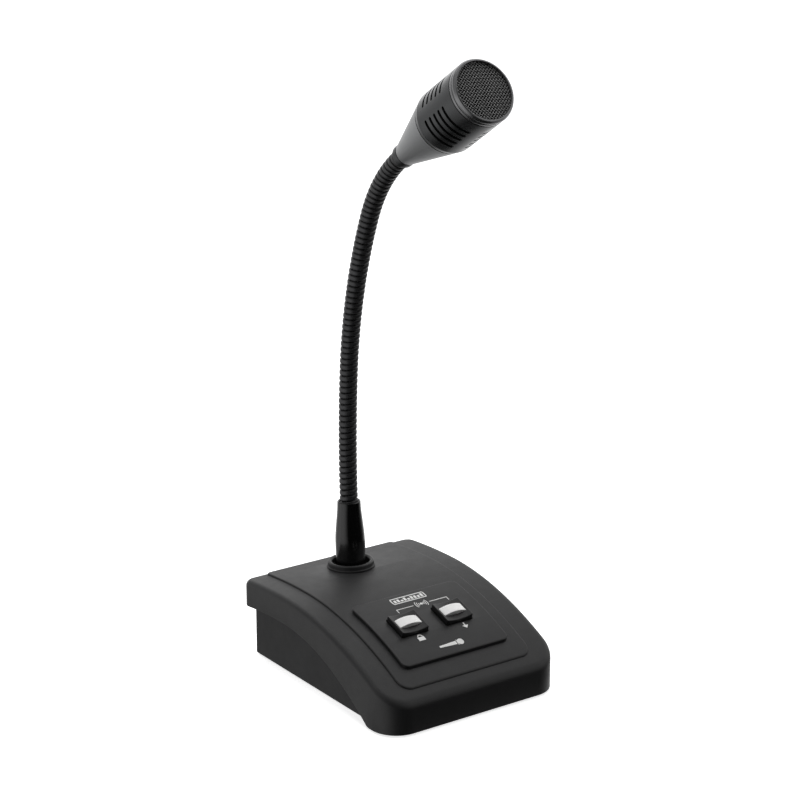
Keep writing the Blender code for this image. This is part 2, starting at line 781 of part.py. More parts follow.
def slot_cutter(head):
    """One mesh with a sector for every slot: groups of slots round the body."""
    bm = bmesh.new()
    steps = 6
    inner = HEAD_RADIUS - 2 * HEAD_WALL
    outer = HEAD_RADIUS + 0.001
    for group in range(SLOT_GROUPS):
        for slot in range(SLOT_COUNT):
            middle = SLOT_FIRST + slot * SLOT_PITCH
            rows = []
            for step in range(steps + 1):
                angle = SLOT_START + 360 * group / SLOT_GROUPS + SLOT_ARC * step / steps
                turn = math.radians(angle)
                row = []
                for radius, side in ((inner, -1), (outer, -1), (outer, 1), (inner, 1)):
                    height = middle + side * SLOT_WIDTH / 2
                    point = (radius * math.cos(turn), radius * math.sin(turn), height)
                    row.append(bm.verts.new(point))
                rows.append(row)
            for near, far in zip(rows, rows[1:]):
                for index in range(4):
                    after = (index + 1) % 4
                    bm.faces.new((near[index], near[after], far[after], far[index]))
            bm.faces.new(rows[0])
            bm.faces.new(rows[-1])
    return add_piece("slot_cutter", mesh_of("slot_cutter", bm), None, head)


def make_slotted_body(head):
    """The cylindrical sleeve, with a spigot that closes the joint with the cone."""
    inner = HEAD_RADIUS - HEAD_WALL
    spigot = CONE_FRONT_RADIUS - HEAD_WALL - 0.0004
    profile = [
        (HEAD_RADIUS - 0.0003, BODY_FRONT),
        (HEAD_RADIUS, BODY_FRONT - 0.0003),
        (HEAD_RADIUS, 0.0034),
        (HEAD_RADIUS - 0.0003, 0.0018),
        (CONE_FRONT_RADIUS + 0.0002, CLEARANCE),
        (spigot, CLEARANCE),
        (spigot - 0.0016, -0.0050),
        (spigot - 0.0028, -0.0050),
        (spigot - 0.0012, 0.0022),
        (inner, 0.0060),
        (inner, BODY_FRONT),
    ]
    body = turned("head_body", profile, "head_satin", head, sides=HEAD_ROUND)
    boolean(body, slot_cutter(head), "DIFFERENCE")


def make_front(head):
    """Front ring, woven disc, foam disc and the liner behind the slots."""
    back = BODY_FRONT + CLEARANCE
    ring = [
        (0.01690, RING_FRONT),
        (0.01740, RING_FRONT - 0.0001),
        (0.01790, RING_FRONT - 0.0010),
        (0.01820, RING_FRONT - 0.0026),
        (0.01820, back),
        (0.01580, back),
        (0.01580, back + 0.0021),
        (MESH_RADIUS + CLEARANCE, back + 0.0021),
        (MESH_RADIUS + CLEARANCE, RING_FRONT - 0.0007),
        (0.01640, RING_FRONT - 0.0004),
    ]
    turned("front_ring", ring, "head_satin", head, sides=HEAD_ROUND)
    mesh_top = RING_FRONT - 0.0011
    disc = [(0, mesh_top), (MESH_RADIUS, mesh_top), (MESH_RADIUS, mesh_top - 0.0007)]
    disc += [(0, mesh_top - 0.0007)]
    turned("mesh_grille", disc, "mesh_steel", head)
    foam_top = mesh_top - 0.0007 - CLEARANCE
    foam = [(0, foam_top), (0.0154, foam_top), (0.0154, foam_top - 0.0025), (0, foam_top - 0.0025)]
    turned("foam_disc", foam, "foam", head)
    liner_radius = HEAD_RADIUS - HEAD_WALL - CLEARANCE
    liner = [(liner_radius, 0.0345), (liner_radius, 0.0065)]
    liner += [(liner_radius - 0.0010, 0.0065), (liner_radius - 0.0010, 0.0345)]
    turned("slot_liner", liner, "foam", head)


def make_capsule(head):
    """The dynamic capsule: a can with a narrower magnet end, in a rubber mounting ring."""
    capsule = [
        (0, 0.0355),
        (0.0112, 0.0355),
        (0.0120, 0.0347),
        (0.0120, 0.0225),
        (0.0095, 0.0205),
        (0.0095, 0.0120),
        (0, 0.0120),
    ]
    turned("capsule", capsule, "steel", head)
    holder = [(0.0144, 0.0315), (0.0144, 0.0265), (0.0123, 0.0265), (0.0123, 0.0315)]
    turned("capsule_holder", holder, "rubber", head)


# Electrical pieces on the base plate


def make_transformer(base):
    floor = PLATE_BOTTOM + PLATE_THICK + CLEARANCE
    spot = (-0.030, 0.048, floor)
    core_mesh = box_mesh("transformer_core", (0.0260, 0.0100, 0.0220), (0, 0, 0.0110))
    core = add_piece("transformer_core", core_mesh, "steel", base, spot)
    window = box_mesh("core_window", (0.0160, 0.0200, 0.0130), (0, 0, 0.0110))
    boolean(core, add_piece("core_window", window, None, base, spot), "DIFFERENCE")
    coil_mesh = box_mesh("transformer_winding", (0.0152, 0.0180, 0.0122), (0, 0, 0.0110))
    coil = add_piece("transformer_winding", coil_mesh, "winding_copper", base, spot)
    bevel(coil, 0.0020, 2)
    block_mesh = box_mesh("terminal_block", (0.0180, 0.0080, 0.0100), (0, 0, 0.0050))
    block = add_piece("terminal_block", block_mesh, "gloss_black", base, (0.024, 0.050, floor))
    for number in range(3):
        where = (0.018 + 0.006 * number, 0.050, floor)
        hole = rod_mesh("terminal", 0.0018, 0.0060, 0.0120, SMALL_ROUND)
        boolean(block, add_piece("terminal", hole, None, base, where), "DIFFERENCE")


def make_neck_lead(base):
    """The lead from the foot of the neck to the rear edge of the switch board."""
    curve = bpy.data.curves.new("neck_lead", "CURVE")
    curve.dimensions = "3D"
    curve.bevel_depth = 0.0013
    curve.bevel_resolution = 1
    curve.use_fill_caps = True
    start = Vector((0, NECK_Y - 0.0008, 0.0309))
    below = Vector((0, NECK_Y - 0.0020, 0.0150))
    ahead = Vector((0, 0.020, 0.0160))
    end = Vector((0, -0.0046, 0.0262))
    points = []
    for step in range(11):
        t = step / 10
        one = (1 - t) ** 3 * start + 3 * (1 - t) ** 2 * t * below
        points.append(one + 3 * (1 - t) * t**2 * ahead + t**3 * end)
    spline = curve.splines.new("POLY")
    spline.points.add(len(points) - 1)
    for control, point in zip(spline.points, points):
        control.co = (*point, 1.0)
    curve.materials.append(finish_of("rubber"))
    lead = bpy.data.objects.new("neck_lead", curve)
    bpy.context.scene.collection.objects.link(lead)
    lead.parent = base


def main():
    clear_scene()
    base = empty("base_frame", None, (0, BASE_SHIFT_Y, 0))
    panel_place = (0, PANEL_Y, deck_height(PANEL_Y) + PANEL_RISE)
    panel = empty("panel_frame", base, panel_place, (deck_slope(PANEL_Y), 0, 0))
    neck_place = (0, NECK_Y, deck_height(NECK_Y) + PLATEAU_RISE)
    neck = empty("neck_frame", base, neck_place, (-NECK_LEAN, 0, 0))
    make_cover(base, panel, neck)
    make_housing(base)
    make_grommet(base)
    make_floor(base)
    make_panel(base, panel)
    for name, side in (("lock", -1), ("push", 1)):
        holder = empty(f"{name}_key_frame", panel, (side * KEY_X, 0, 0))
        make_key(f"{name}_key", holder)
        make_switch(f"{name}_switch", panel, side * KEY_X)
    make_board(panel)
    make_neck(base)
    make_neck_foot(neck)
    make_neck_clamp(neck)
    make_collar(neck)
    make_head(base)
    make_transformer(base)
    make_neck_lead(base)


main()
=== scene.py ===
"""Looks of a desk gooseneck microphone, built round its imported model.

Lengths are in metres. The front (the keys and the head) faces -Y and the base stands on z = 0.
"""

import json
import math

import bmesh
import bpy
from mathutils import Matrix, Vector


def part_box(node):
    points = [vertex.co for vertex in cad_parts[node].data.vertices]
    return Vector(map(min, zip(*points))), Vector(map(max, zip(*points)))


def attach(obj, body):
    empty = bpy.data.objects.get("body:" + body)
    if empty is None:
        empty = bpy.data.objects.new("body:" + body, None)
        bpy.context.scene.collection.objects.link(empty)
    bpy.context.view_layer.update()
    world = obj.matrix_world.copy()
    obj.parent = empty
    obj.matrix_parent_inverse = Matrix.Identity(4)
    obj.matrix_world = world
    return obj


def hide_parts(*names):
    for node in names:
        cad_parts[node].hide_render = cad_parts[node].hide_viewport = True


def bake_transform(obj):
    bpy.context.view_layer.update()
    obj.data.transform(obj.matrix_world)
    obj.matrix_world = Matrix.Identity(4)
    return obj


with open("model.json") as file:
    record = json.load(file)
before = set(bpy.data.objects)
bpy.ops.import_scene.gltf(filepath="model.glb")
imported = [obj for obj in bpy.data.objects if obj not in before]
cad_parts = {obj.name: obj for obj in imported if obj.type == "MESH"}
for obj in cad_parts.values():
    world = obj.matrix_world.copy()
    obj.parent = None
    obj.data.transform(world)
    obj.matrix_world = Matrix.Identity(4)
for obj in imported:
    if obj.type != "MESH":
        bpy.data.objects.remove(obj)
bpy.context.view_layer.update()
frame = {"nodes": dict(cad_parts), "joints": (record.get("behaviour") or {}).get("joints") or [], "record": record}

# Base, about its own middle
COVER_LOW, COVER_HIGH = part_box("top_cover")
BASE = Vector((0, (COVER_LOW.y + COVER_HIGH.y) / 2, 0))
BASE_WIDTH = COVER_HIGH.x - COVER_LOW.x
BASE_DEPTH = COVER_HIGH.y - COVER_LOW.y
GROUND_GAP = COVER_LOW.z
PLATEAU_RISE = 0.0010
CROWN_HEIGHT = COVER_HIGH.z - PLATEAU_RISE
CROWN_Y = 0.030
FRONT_HEIGHT = 0.0188
REAR_HEIGHT = 0.0467
FRONT_CORNER = 0.0166
REAR_CORNER = 0.0067
EDGE_FILLET = 0.0034
COVER_WALL = 0.0025
LIP_ROUND = 0.0006
SKIRT_TOP = 0.0336
SKIRT_CREST_Y = 0.032
SKIRT_FRONT_CURVE = 4.44
SKIRT_REAR_CURVE = 1.7
HOUSING_INSET = 0.0055
HOUSING_WALL = 0.0025

# Plateau, panel and keys
PLATEAU_HALF_WIDTH = 0.045
PLATEAU_FRONT_Y = -0.067
PLATEAU_REAR_Y = 0.0725
PANEL_HALF_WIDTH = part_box("control_panel")[1].x
PANEL_HALF_DEPTH = 0.0268
PANEL_Y = -0.0294
PANEL_RISE = 0.0031
PANEL_CORNER = 0.0040
KEY_X = 0.0154
KEY_WIDTH = 0.0180
KEY_DEPTH = 0.0162
KEY_RISE = 0.0032
KEY_DISH = 0.0013
KEY_SKIRT = 0.0090
CAP_WIDTH = 0.0150
CAP_DEPTH = 0.0066
CAP_CREST = 0.0042
CAP_SHOULDER = 0.0027
CAP_SEAT = 0.0008
PRINT_THICK = 0.00003

# Neck, from its first joint, and the head along its own axis
JOINTS = {joint["name"]: joint for joint in frame["joints"]}
NECK_START = Vector(JOINTS["neck_bend_1"]["pos_m"])
NECK_LEAN = -math.radians(2.49)
NECK_BENDS = ((0.7140, 6.15), (0.3082, 18.45), (0.0857, 34.81))
NECK_LENGTH = sum(radius * math.radians(degrees) for radius, degrees in NECK_BENDS)
NECK_RADIUS = 0.0054
FIRST_JOINT = 0.0422
HEAD_START = 0.0437
CONE_REAR = 0.0405
CONE_REAR_RADIUS = 0.0067
CONE_FRONT_RADIUS = 0.0173
HEAD_RADIUS = 0.01826
HEAD_WALL = 0.0019
BODY_FRONT = 0.0366
RING_FRONT = 0.0420
MESH_RADIUS = 0.0165

# Fineness of the meshes
ROUND = 128
CORNER_STEPS = 14
SIDE_STEPS = 72


# Materials


def node(tree, kind, **values):
    """A node with the given sockets (names with _ for spaces) set, or linked when given a socket."""
    made = tree.nodes.new(kind)
    for name, value in values.items():
        if name.startswith("set_"):
            setattr(made, name[4:], value)
            continue
        socket = made.inputs[int(name[1:])] if name[0] == "i" and name[1:].isdigit() else None
        socket = socket or made.inputs[name.replace("_", " ")]
        if isinstance(value, bpy.types.NodeSocket):
            tree.links.new(value, socket)
        else:
            socket.default_value = value
    return made


def ramp(tree, source, low, high, start=0.0, end=1.0):
    """Maps a value from start..end to low..high."""
    made = node(tree, "ShaderNodeMapRange", i0=source, i1=start, i2=end, i3=low, i4=high)
    return made.outputs[0]


def noise(tree, where, size, detail=3.0, roughness=0.5):
    """Noise whose features are about size across."""
    made = node(tree, "ShaderNodeTexNoise", Vector=where, Scale=1 / size, Detail=detail)
    made.inputs["Roughness"].default_value = roughness
    return made.outputs["Factor" if "Factor" in made.outputs else "Fac"]


def mixed(tree, factor, first, second):
    """Colour between two colours or colour sockets."""
    made = node(tree, "ShaderNodeMix", set_data_type="RGBA", i0=factor)
    for index, colour in ((6, first), (7, second)):
        if isinstance(colour, bpy.types.NodeSocket):
            tree.links.new(colour, made.inputs[index])
        else:
            made.inputs[index].default_value = (*colour, 1.0)
    return made.outputs[2]


def bumped(tree, height, distance, strength=1.0, normal=None):
    made = node(tree, "ShaderNodeBump", Height=height, Distance=distance, Strength=strength)
    if normal is not None:
        tree.links.new(normal, made.inputs["Normal"])
    return made.outputs["Normal"]


def scaled(colour, factor):
    return tuple(channel * factor for channel in colour)


def finish(name, colour, rough, metallic=0.0, grain=0.0004, depth=0.00002, worn=1.6,
           spread=0.10, **shader_values):
    """A material with patchy colour, patchy gloss, a fine surface grain and lighter worn edges."""
    made = bpy.data.materials.new(name)
    made.use_nodes = True
    tree = made.node_tree
    shader = tree.nodes["Principled BSDF"]
    where = node(tree, "ShaderNodeTexCoord").outputs["Object"]
    broad = noise(tree, where, 0.018, 4.0, 0.6)
    fine = noise(tree, where, grain, 2.0, 0.6)
    edge = node(tree, "ShaderNodeAttribute", set_attribute_name="edge").outputs["Fac"]
    rubbed = node(tree, "ShaderNodeMath", set_operation="MULTIPLY", i0=edge, i1=broad).outputs[0]
    tone = mixed(tree, ramp(tree, broad, 0, 1, 0.3, 0.7), scaled(colour, 0.97), scaled(colour, 1.03))
    speckle = mixed(tree, ramp(tree, fine, 0, 0.35, 0.35, 0.75), tone, scaled(colour, 1.35))
    coloured = mixed(tree, ramp(tree, rubbed, 0, 0.8, 0.1, 0.6), speckle, scaled(colour, worn))
    tree.links.new(coloured, shader.inputs["Base Color"])
    patchy = ramp(tree, noise(tree, where, 0.006, 3.0, 0.6), rough - spread / 2, rough + spread / 2, 0.3, 0.7)
    smoothed = node(tree, "ShaderNodeMath", set_operation="MULTIPLY_ADD", i0=rubbed, i1=-0.12, i2=patchy)
    tree.links.new(smoothed.outputs[0], shader.inputs["Roughness"])
    tree.links.new(bumped(tree, fine, depth), shader.inputs["Normal"])
    shader.inputs["Metallic"].default_value = metallic
    for socket, value in shader_values.items():
        shader.inputs[socket.replace("_", " ")].default_value = value
    return made


def brushed(name, colour, rough, metallic, stretch, depth, **shader_values):
    """A finish with fine lines along X, as on brushed metal or a rubbed panel."""
    made = finish(name, colour, rough, metallic, 0.0005, 0.00001, 1.5, 0.08, **shader_values)
    tree = made.node_tree
    shader = tree.nodes["Principled BSDF"]
    where = node(tree, "ShaderNodeTexCoord").outputs["Object"]
    squeezed = node(tree, "ShaderNodeMapping", Vector=where, Scale=(1 / stretch, 1, 1)).outputs[0]
    lines = noise(tree, squeezed, 0.0003, 3.0, 0.7)
    before = shader.inputs["Normal"].links[0].from_socket
    tree.links.new(bumped(tree, lines, depth, 1.0, before), shader.inputs["Normal"])
    return made


def wound_metal(name, colour, rough):
    """The neck's paint, rubbed lighter on the crests, with painted shade darkening the grooves between turns."""
    made = finish(name, colour, rough, 0.35, 0.0003, 0.000015, 1.0, 0.12)
    tree = made.node_tree
    shader = tree.nodes["Principled BSDF"]
    crest = node(tree, "ShaderNodeAttribute", set_attribute_name="crest").outputs["Fac"]
    before = shader.inputs["Base Color"].links[0].from_socket
    # painted shade: the grooves between turns are darkened to a tenth of the paint's colour
    groove_shaded = mixed(tree, ramp(tree, crest, 0, 1, 0.0, 0.55), scaled(colour, 0.10), before)
    rubbed = mixed(tree, ramp(tree, crest, 0, 0.5, 0.75, 1.0), groove_shaded, scaled(colour, 1.5))
    tree.links.new(rubbed, shader.inputs["Base Color"])
    return made


def foam(name, colour):
    """Open-cell foam: deep pits between soft cell walls, with painted shade darkening the pits and the walls
    painted lighter.
    """
    made = finish(name, colour, 0.92, 0.0, 0.0008, 0.00008, 1.0, 0.05, Specular_IOR_Level=0.08)
    tree = made.node_tree
    shader = tree.nodes["Principled BSDF"]
    where = node(tree, "ShaderNodeTexCoord").outputs["Object"]
    cells = node(tree, "ShaderNodeTexVoronoi", Vector=where, Scale=1 / 0.0007).outputs["Distance"]
    # painted shade: colour follows the bump's cells, dark in the pits and light on the walls
    tree.links.new(mixed(tree, cells, scaled(colour, 0.3), scaled(colour, 1.4)), shader.inputs["Base Color"])
    before = shader.inputs["Normal"].links[0].from_socket
    tree.links.new(bumped(tree, cells, 0.0003, 0.8, before), shader.inputs["Normal"])
    return made


def make_finishes():
    """One material for each slot of the record, and those that only show in the looks."""
    return {
        "black_abs": finish("moulded_black", (0.022, 0.022, 0.0225), 0.50, 0.0, 0.00045, 0.00006, 1.5, 0.05),
        # painted shade: a darker, less glossy copy of the moulded black, for the shade under the cover's overhang
        "housing_black_shaded": finish("housing_black_shaded", (0.016, 0.016, 0.0165), 0.56, 0.0, 0.00045, 0.00006, 1.5,
                                0.05, Specular_IOR_Level=0.3),
        "panel_satin": brushed("panel_satin", (0.016, 0.016, 0.0165), 0.42, 0.0, 14.0, 0.00001),
        "key_black": finish("key_black", (0.013, 0.013, 0.0135), 0.38, 0.0, 0.0003, 0.000015),
        "key_white": finish("key_white", (0.88, 0.88, 0.87), 0.34, 0.0, 0.0003, 0.00001, 1.05, 0.08),
        "gloss_black": finish("gloss_black", (0.006, 0.006, 0.006), 0.20, 0.0, 0.0012, 0.00001, 1.4, 0.05,
                              Coat_Weight=0.3, Coat_Roughness=0.12),
        "neck_black": wound_metal("neck_black", (0.050, 0.050, 0.052), 0.36),
        "head_satin": finish("head_satin", (0.078, 0.080, 0.082), 0.30, 0.75, 0.00018, 0.000006, 1.15, 0.05,
                             Coat_Weight=0.15, Coat_Roughness=0.25),
        "mesh_steel": finish("mesh_steel", (0.42, 0.42, 0.42), 0.30, 0.7, 0.0002, 0.00001, 1.2),
        # painted light: a lighter copy of the head's paint, for the light the cone catches
        "cone_satin_lit": finish("cone_satin_lit", (0.34, 0.345, 0.35), 0.50, 0.75, 0.00018, 0.000006, 1.1, 0.05,
                             Coat_Weight=0.15, Coat_Roughness=0.25),
        # painted light: a lighter copy of the head's paint, for the fill light on the front ring
        "ring_satin_lit": finish("ring_satin_lit", (0.26, 0.26, 0.265), 0.24, 0.85, 0.00018, 0.000004, 1.4, 0.04,
                             Coat_Weight=0.2, Coat_Roughness=0.15),
        "steel": brushed("zinc_steel", (0.46, 0.47, 0.48), 0.34, 1.0, 20.0, 0.00002),
        "capsule_can": brushed("capsule_can", (0.50, 0.50, 0.51), 0.28, 1.0, 20.0, 0.00001),
        "brass": finish("turned_brass", (0.62, 0.45, 0.19), 0.30, 1.0, 0.0004, 0.00001, 1.2),
        "rubber": finish("moulded_rubber", (0.016, 0.016, 0.016), 0.78, 0.0, 0.0005, 0.00006, 1.5),
        "foam": foam("black_foam", (0.006, 0.006, 0.006)),
        "board_green": finish("solder_mask", (0.02, 0.12, 0.055), 0.40, 0.0, 0.0006, 0.00002, 1.4),
        "winding_copper": brushed("enamelled_copper", (0.62, 0.26, 0.10), 0.36, 0.9, 0.05, 0.00008),
        "print_white": finish("print_white", (0.80, 0.80, 0.79), 0.55, 0.0, 0.0002, 0.00001, 1.0),
    }


# Mesh building


def mark_edges(mesh):
    """Stores how sharply the surface turns outwards at each vertex, for the worn edges."""
    bm = bmesh.new()
    bm.from_mesh(mesh)
    values = []
    for vertex in bm.verts:
        turns = [edge.calc_face_angle_signed(0.0) for edge in vertex.link_edges if edge.is_manifold]
        values.append(min(1.0, max(turns, default=0.0) / 0.5))
    bm.free()
    layer = mesh.attributes.get("edge") or mesh.attributes.new("edge", "FLOAT", "POINT")
    layer.data.foreach_set("value", values)


def piece(name, bm, slot, body, replaced=(), sharp=35.0, material=None):
    """Makes the object, gives it its finish, says which body it rides on and hides the imported parts it stands
    for.
    """
    bmesh.ops.remove_doubles(bm, verts=bm.verts, dist=1e-7)
    bmesh.ops.recalc_face_normals(bm, faces=bm.faces)
    mesh = bpy.data.meshes.new(name)
    bm.to_mesh(mesh)
    bm.free()
    obj = bpy.data.objects.new(name, mesh)
    bpy.context.scene.collection.objects.link(obj)
    mesh.shade_smooth()
    mesh.set_sharp_from_angle(angle=math.radians(sharp))
    mark_edges(mesh)
    mesh.materials.append(FINISHES[material or slot])
    if replaced:
        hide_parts(*replaced)
    if body:
        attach(obj, body)
    return obj


def cut(bm, cutters, operation="DIFFERENCE"):
    """The mesh with the cutters, given as meshes in progress, taken away or added."""
    made = []
    for source in [bm, *cutters]:
        bmesh.ops.remove_doubles(source, verts=source.verts, dist=1e-7)
        bmesh.ops.recalc_face_normals(source, faces=source.faces)
        mesh = bpy.data.meshes.new("working")
        source.to_mesh(mesh)
        source.free()
        obj = bpy.data.objects.new("working", mesh)
        bpy.context.scene.collection.objects.link(obj)
        made.append(obj)
    whole = made[0]
    for cutter in made[1:]:
        modifier = whole.modifiers.new("cut", "BOOLEAN")
        modifier.operation = operation
        modifier.solver = "EXACT"
        modifier.object = cutter
    bpy.context.view_layer.update()
    result = bmesh.new()
    result.from_object(whole, bpy.context.evaluated_depsgraph_get())
    for obj in made:
        mesh = obj.data
        bpy.data.objects.remove(obj)
        bpy.data.meshes.remove(mesh)
    return result


def lofted(rings, closed=False, capped=False):
    """A skin over rings of equal length. Capped ends are strips between a ring's two halves."""
    bm = bmesh.new()
    rows = [[bm.verts.new(point) for point in ring] for ring in rings]
    pairs = list(zip(rows, rows[1:]))
    if closed:
        pairs.append((rows[-1], rows[0]))
    for low, high in pairs:
        for index in range(len(low)):
            after = (index + 1) % len(low)
            bm.faces.new((low[index], low[after], high[after], high[index]))
    if capped:
        for row in (rows[0], rows[-1]):
            count = len(row)
            for index in range(count // 2 - 1):
                bm.faces.new((row[index], row[index + 1], row[count - 2 - index], row[count - 1 - index]))
    return bm


def rounded_path(points, steps=6):
    """A closed outline given as (x, y, corner radius), with each corner turned into an arc."""
    path = []
    for index, (x, y, radius) in enumerate(points):
        corner = Vector((x, y))
        before = Vector(points[index - 1][:2]) - corner
        after = Vector(points[(index + 1) % len(points)][:2]) - corner
        angle = before.angle(after) if before.length and after.length else math.pi
        if radius <= 0 or angle > math.radians(178):
            path.append(corner)
            continue
        reach = min(radius / math.tan(angle / 2), before.length * 0.49, after.length * 0.49)
        first = corner + before.normalized() * reach
        last = corner + after.normalized() * reach
        for step in range(steps + 1):
            t = step / steps
            path.append((1 - t) ** 2 * first + 2 * t * (1 - t) * corner + t * t * last)
    return path


def smooth_path(points, steps=6):
    """Points of a curve that passes smoothly through the given ones."""
    path = []
    for index in range(len(points) - 1):
        p1, p2 = Vector(points[index]), Vector(points[index + 1])
        p0 = Vector(points[index - 1]) if index else 2 * p1 - p2
        p3 = Vector(points[index + 2]) if index + 2 < len(points) else 2 * p2 - p1
        for step in range(steps):
            t = step / steps
            path.append(
                p1 + 0.5 * t * (p2 - p0 + t * (2 * p0 - 5 * p1 + 4 * p2 - p3 + t * (3 * (p1 - p2) + p3 - p0)))
            )
    path.append(Vector(points[-1]))
    return path


def turned(path, place, sides=ROUND, closed=True):
    """Turns a path of (radius, height) about the local Z of place."""
    bm = bmesh.new()
    rows = []
    for radius, height in path:
        if radius < 1e-7:
            rows.append([bm.verts.new(place @ Vector((0, 0, height)))] * sides)
            continue
        row = []
        for side in range(sides):
            turn = math.tau * side / sides
            spot = Vector((radius * math.cos(turn), radius * math.sin(turn), height))
            row.append(bm.verts.new(place @ spot))
        rows.append(row)
    pairs = list(zip(rows, rows[1:])) + ([(rows[-1], rows[0])] if closed else [])
    for low, high in pairs:
        for index in range(sides):
            after = (index + 1) % sides
            corners = []
            for vertex in (low[index], low[after], high[after], high[index]):
                if vertex not in corners:
                    corners.append(vertex)
            if len(corners) > 2:
                bm.faces.new(corners)
    return bm


def block(size, place):
    """A plain box, for cutting."""
    bm = bmesh.new()
    bmesh.ops.create_cube(bm, size=1.0, matrix=place @ Matrix.Diagonal((*size, 1.0)))
    return bm


# Shape of the base


def deck_height(y):
    """Height of the cover at this y from the base's middle: a parabola each side of the crown."""
    if y < CROWN_Y:
        share = (CROWN_Y - y) / (CROWN_Y + BASE_DEPTH / 2)
        return CROWN_HEIGHT - (CROWN_HEIGHT - FRONT_HEIGHT) * share**2
    share = (y - CROWN_Y) / (BASE_DEPTH / 2 - CROWN_Y)
    return CROWN_HEIGHT - (CROWN_HEIGHT - REAR_HEIGHT) * share**2


def deck_slope(y):
    step = 0.0005
    return math.atan2(deck_height(y + step) - deck_height(y - step), 2 * step)


def skirt_height(y):
    curve = SKIRT_FRONT_CURVE if y < SKIRT_CREST_Y else SKIRT_REAR_CURVE
    return max(GROUND_GAP, SKIRT_TOP - curve * (y - SKIRT_CREST_Y) ** 2)


def outline(half_width, front, rear, front_radius, rear_radius, inset=0.0, corner=CORNER_STEPS,
            side=SIDE_STEPS):
    """Right half of a rounded rectangle, from its front edge to its rear edge."""
    wide = half_width - inset
    front += inset
    rear -= inset
    front_radius = max(front_radius - inset, 0.0002)
    rear_radius = max(rear_radius - inset, 0.0002)
    points = []
    for step in range(corner + 1):
        turn = math.radians(90 * step / corner)
        across = wide - front_radius + front_radius * math.sin(turn)
        points.append((across, front + front_radius - front_radius * math.cos(turn)))
    start = front + front_radius
    length = rear - rear_radius - start
    for step in range(1, side):
        points.append((wide, start + length * step / side))
    for step in range(corner + 1):
        turn = math.radians(90 * step / corner)
        across = wide - rear_radius + rear_radius * math.cos(turn)
        points.append((across, rear - rear_radius + rear_radius * math.sin(turn)))
    return points


def ring_of(half, height, place=None):
    """Both halves of an outline, at the height that the function gives for each x and y."""
    place = place or Matrix.Translation(BASE)
    right = [place @ Vector((x, y, height(x, y))) for x, y in half]
    left = [place @ Vector((-x, y, height(-x, y))) for x, y in reversed(half)]
    return right + left


def base_ring(inset, height):
    half_depth = BASE_DEPTH / 2
    half = outline(BASE_WIDTH / 2, -half_depth, half_depth, FRONT_CORNER, REAR_CORNER, inset)
    return ring_of(half, lambda x, y: height(y))


def above_deck(rise):
    return lambda y: deck_height(y) + rise


def level(value):
    return lambda y: value


def rounding(fillet, steps=8):
    """Inset and drop of each step round a quarter-circle edge."""
    turns = [math.radians(90 * step / steps) for step in range(steps + 1)]
    return [(fillet * (1 - math.cos(turn)), fillet * (1 - math.sin(turn))) for turn in turns]


def slab(outline_at, bottom, top, fillet, support=0.0006):
    """A slab that follows the deck, between two heights over it, with its upper edge rounded."""
    rings = [ring_of(outline_at(0.0), lambda x, y: deck_height(y) + bottom)]
    for inset, drop in rounding(fillet):
        rings.append(ring_of(outline_at(inset), lambda x, y, rise=top - drop: deck_height(y) + rise))
    rings.append(ring_of(outline_at(fillet + support), lambda x, y: deck_height(y) + top))
    return lofted(rings, capped=True)


def panel_place(x=0.0, y=PANEL_Y):
    """Frame on the panel's top surface, its Z along the surface's normal."""
    spot = Matrix.Translation(BASE + Vector((0, y, deck_height(y) + PANEL_RISE)))
    return spot @ Matrix.Rotation(deck_slope(y), 4, "X") @ Matrix.Translation((x, 0, 0))


def neck_place():
    """Frame on the deck, under the neck, its Z along the neck's lower axis."""
    along = Vector((0, -math.sin(NECK_LEAN), math.cos(NECK_LEAN)))
    return Matrix.Translation(NECK_START - along * FIRST_JOINT) @ Matrix.Rotation(NECK_LEAN, 4, "X")


def make_cover():
    """The arched cover: a rolled lower lip, a rounded shoulder, the plateau and its openings."""
    rings = [base_ring(COVER_WALL, above_deck(-COVER_WALL))]
    rings.append(base_ring(COVER_WALL, lambda y: skirt_height(y) + LIP_ROUND))
    for step in range(5):
        turn = math.radians(180 * step / 4)
        inset = COVER_WALL - LIP_ROUND + LIP_ROUND * math.cos(turn)
        if step > 2:
            inset = LIP_ROUND + LIP_ROUND * math.cos(turn)
        rise = LIP_ROUND * (1 - math.sin(turn))
        rings.append(base_ring(inset, lambda y, rise=rise: skirt_height(y) + rise))
    for inset, drop in rounding(EDGE_FILLET):
        rings.append(base_ring(inset, above_deck(-drop)))
    rings.append(base_ring(EDGE_FILLET + 0.0008, above_deck(0)))
    cover = lofted(rings, capped=True)

    def plateau_at(inset):
        return outline(PLATEAU_HALF_WIDTH, PLATEAU_FRONT_Y, PLATEAU_REAR_Y, 0.007, 0.003, inset)

    cover = cut(cover, [slab(plateau_at, -0.0012, PLATEAU_RISE, 0.0008)], "UNION")
    hole = neck_place()
    cutters = [turned([(0.0, -0.010), (0.0123, -0.010), (0.0123, 0.010), (0.0, 0.010)], hole, 96, False)]
    for side in (-1, 1):
        cutters.append(block((KEY_WIDTH + 0.0024, KEY_DEPTH + 0.0024, 0.024), panel_place(side * KEY_X)))
    piece("cover_skin", cut(cover, cutters), "black_abs", "base", ["top_cover"])


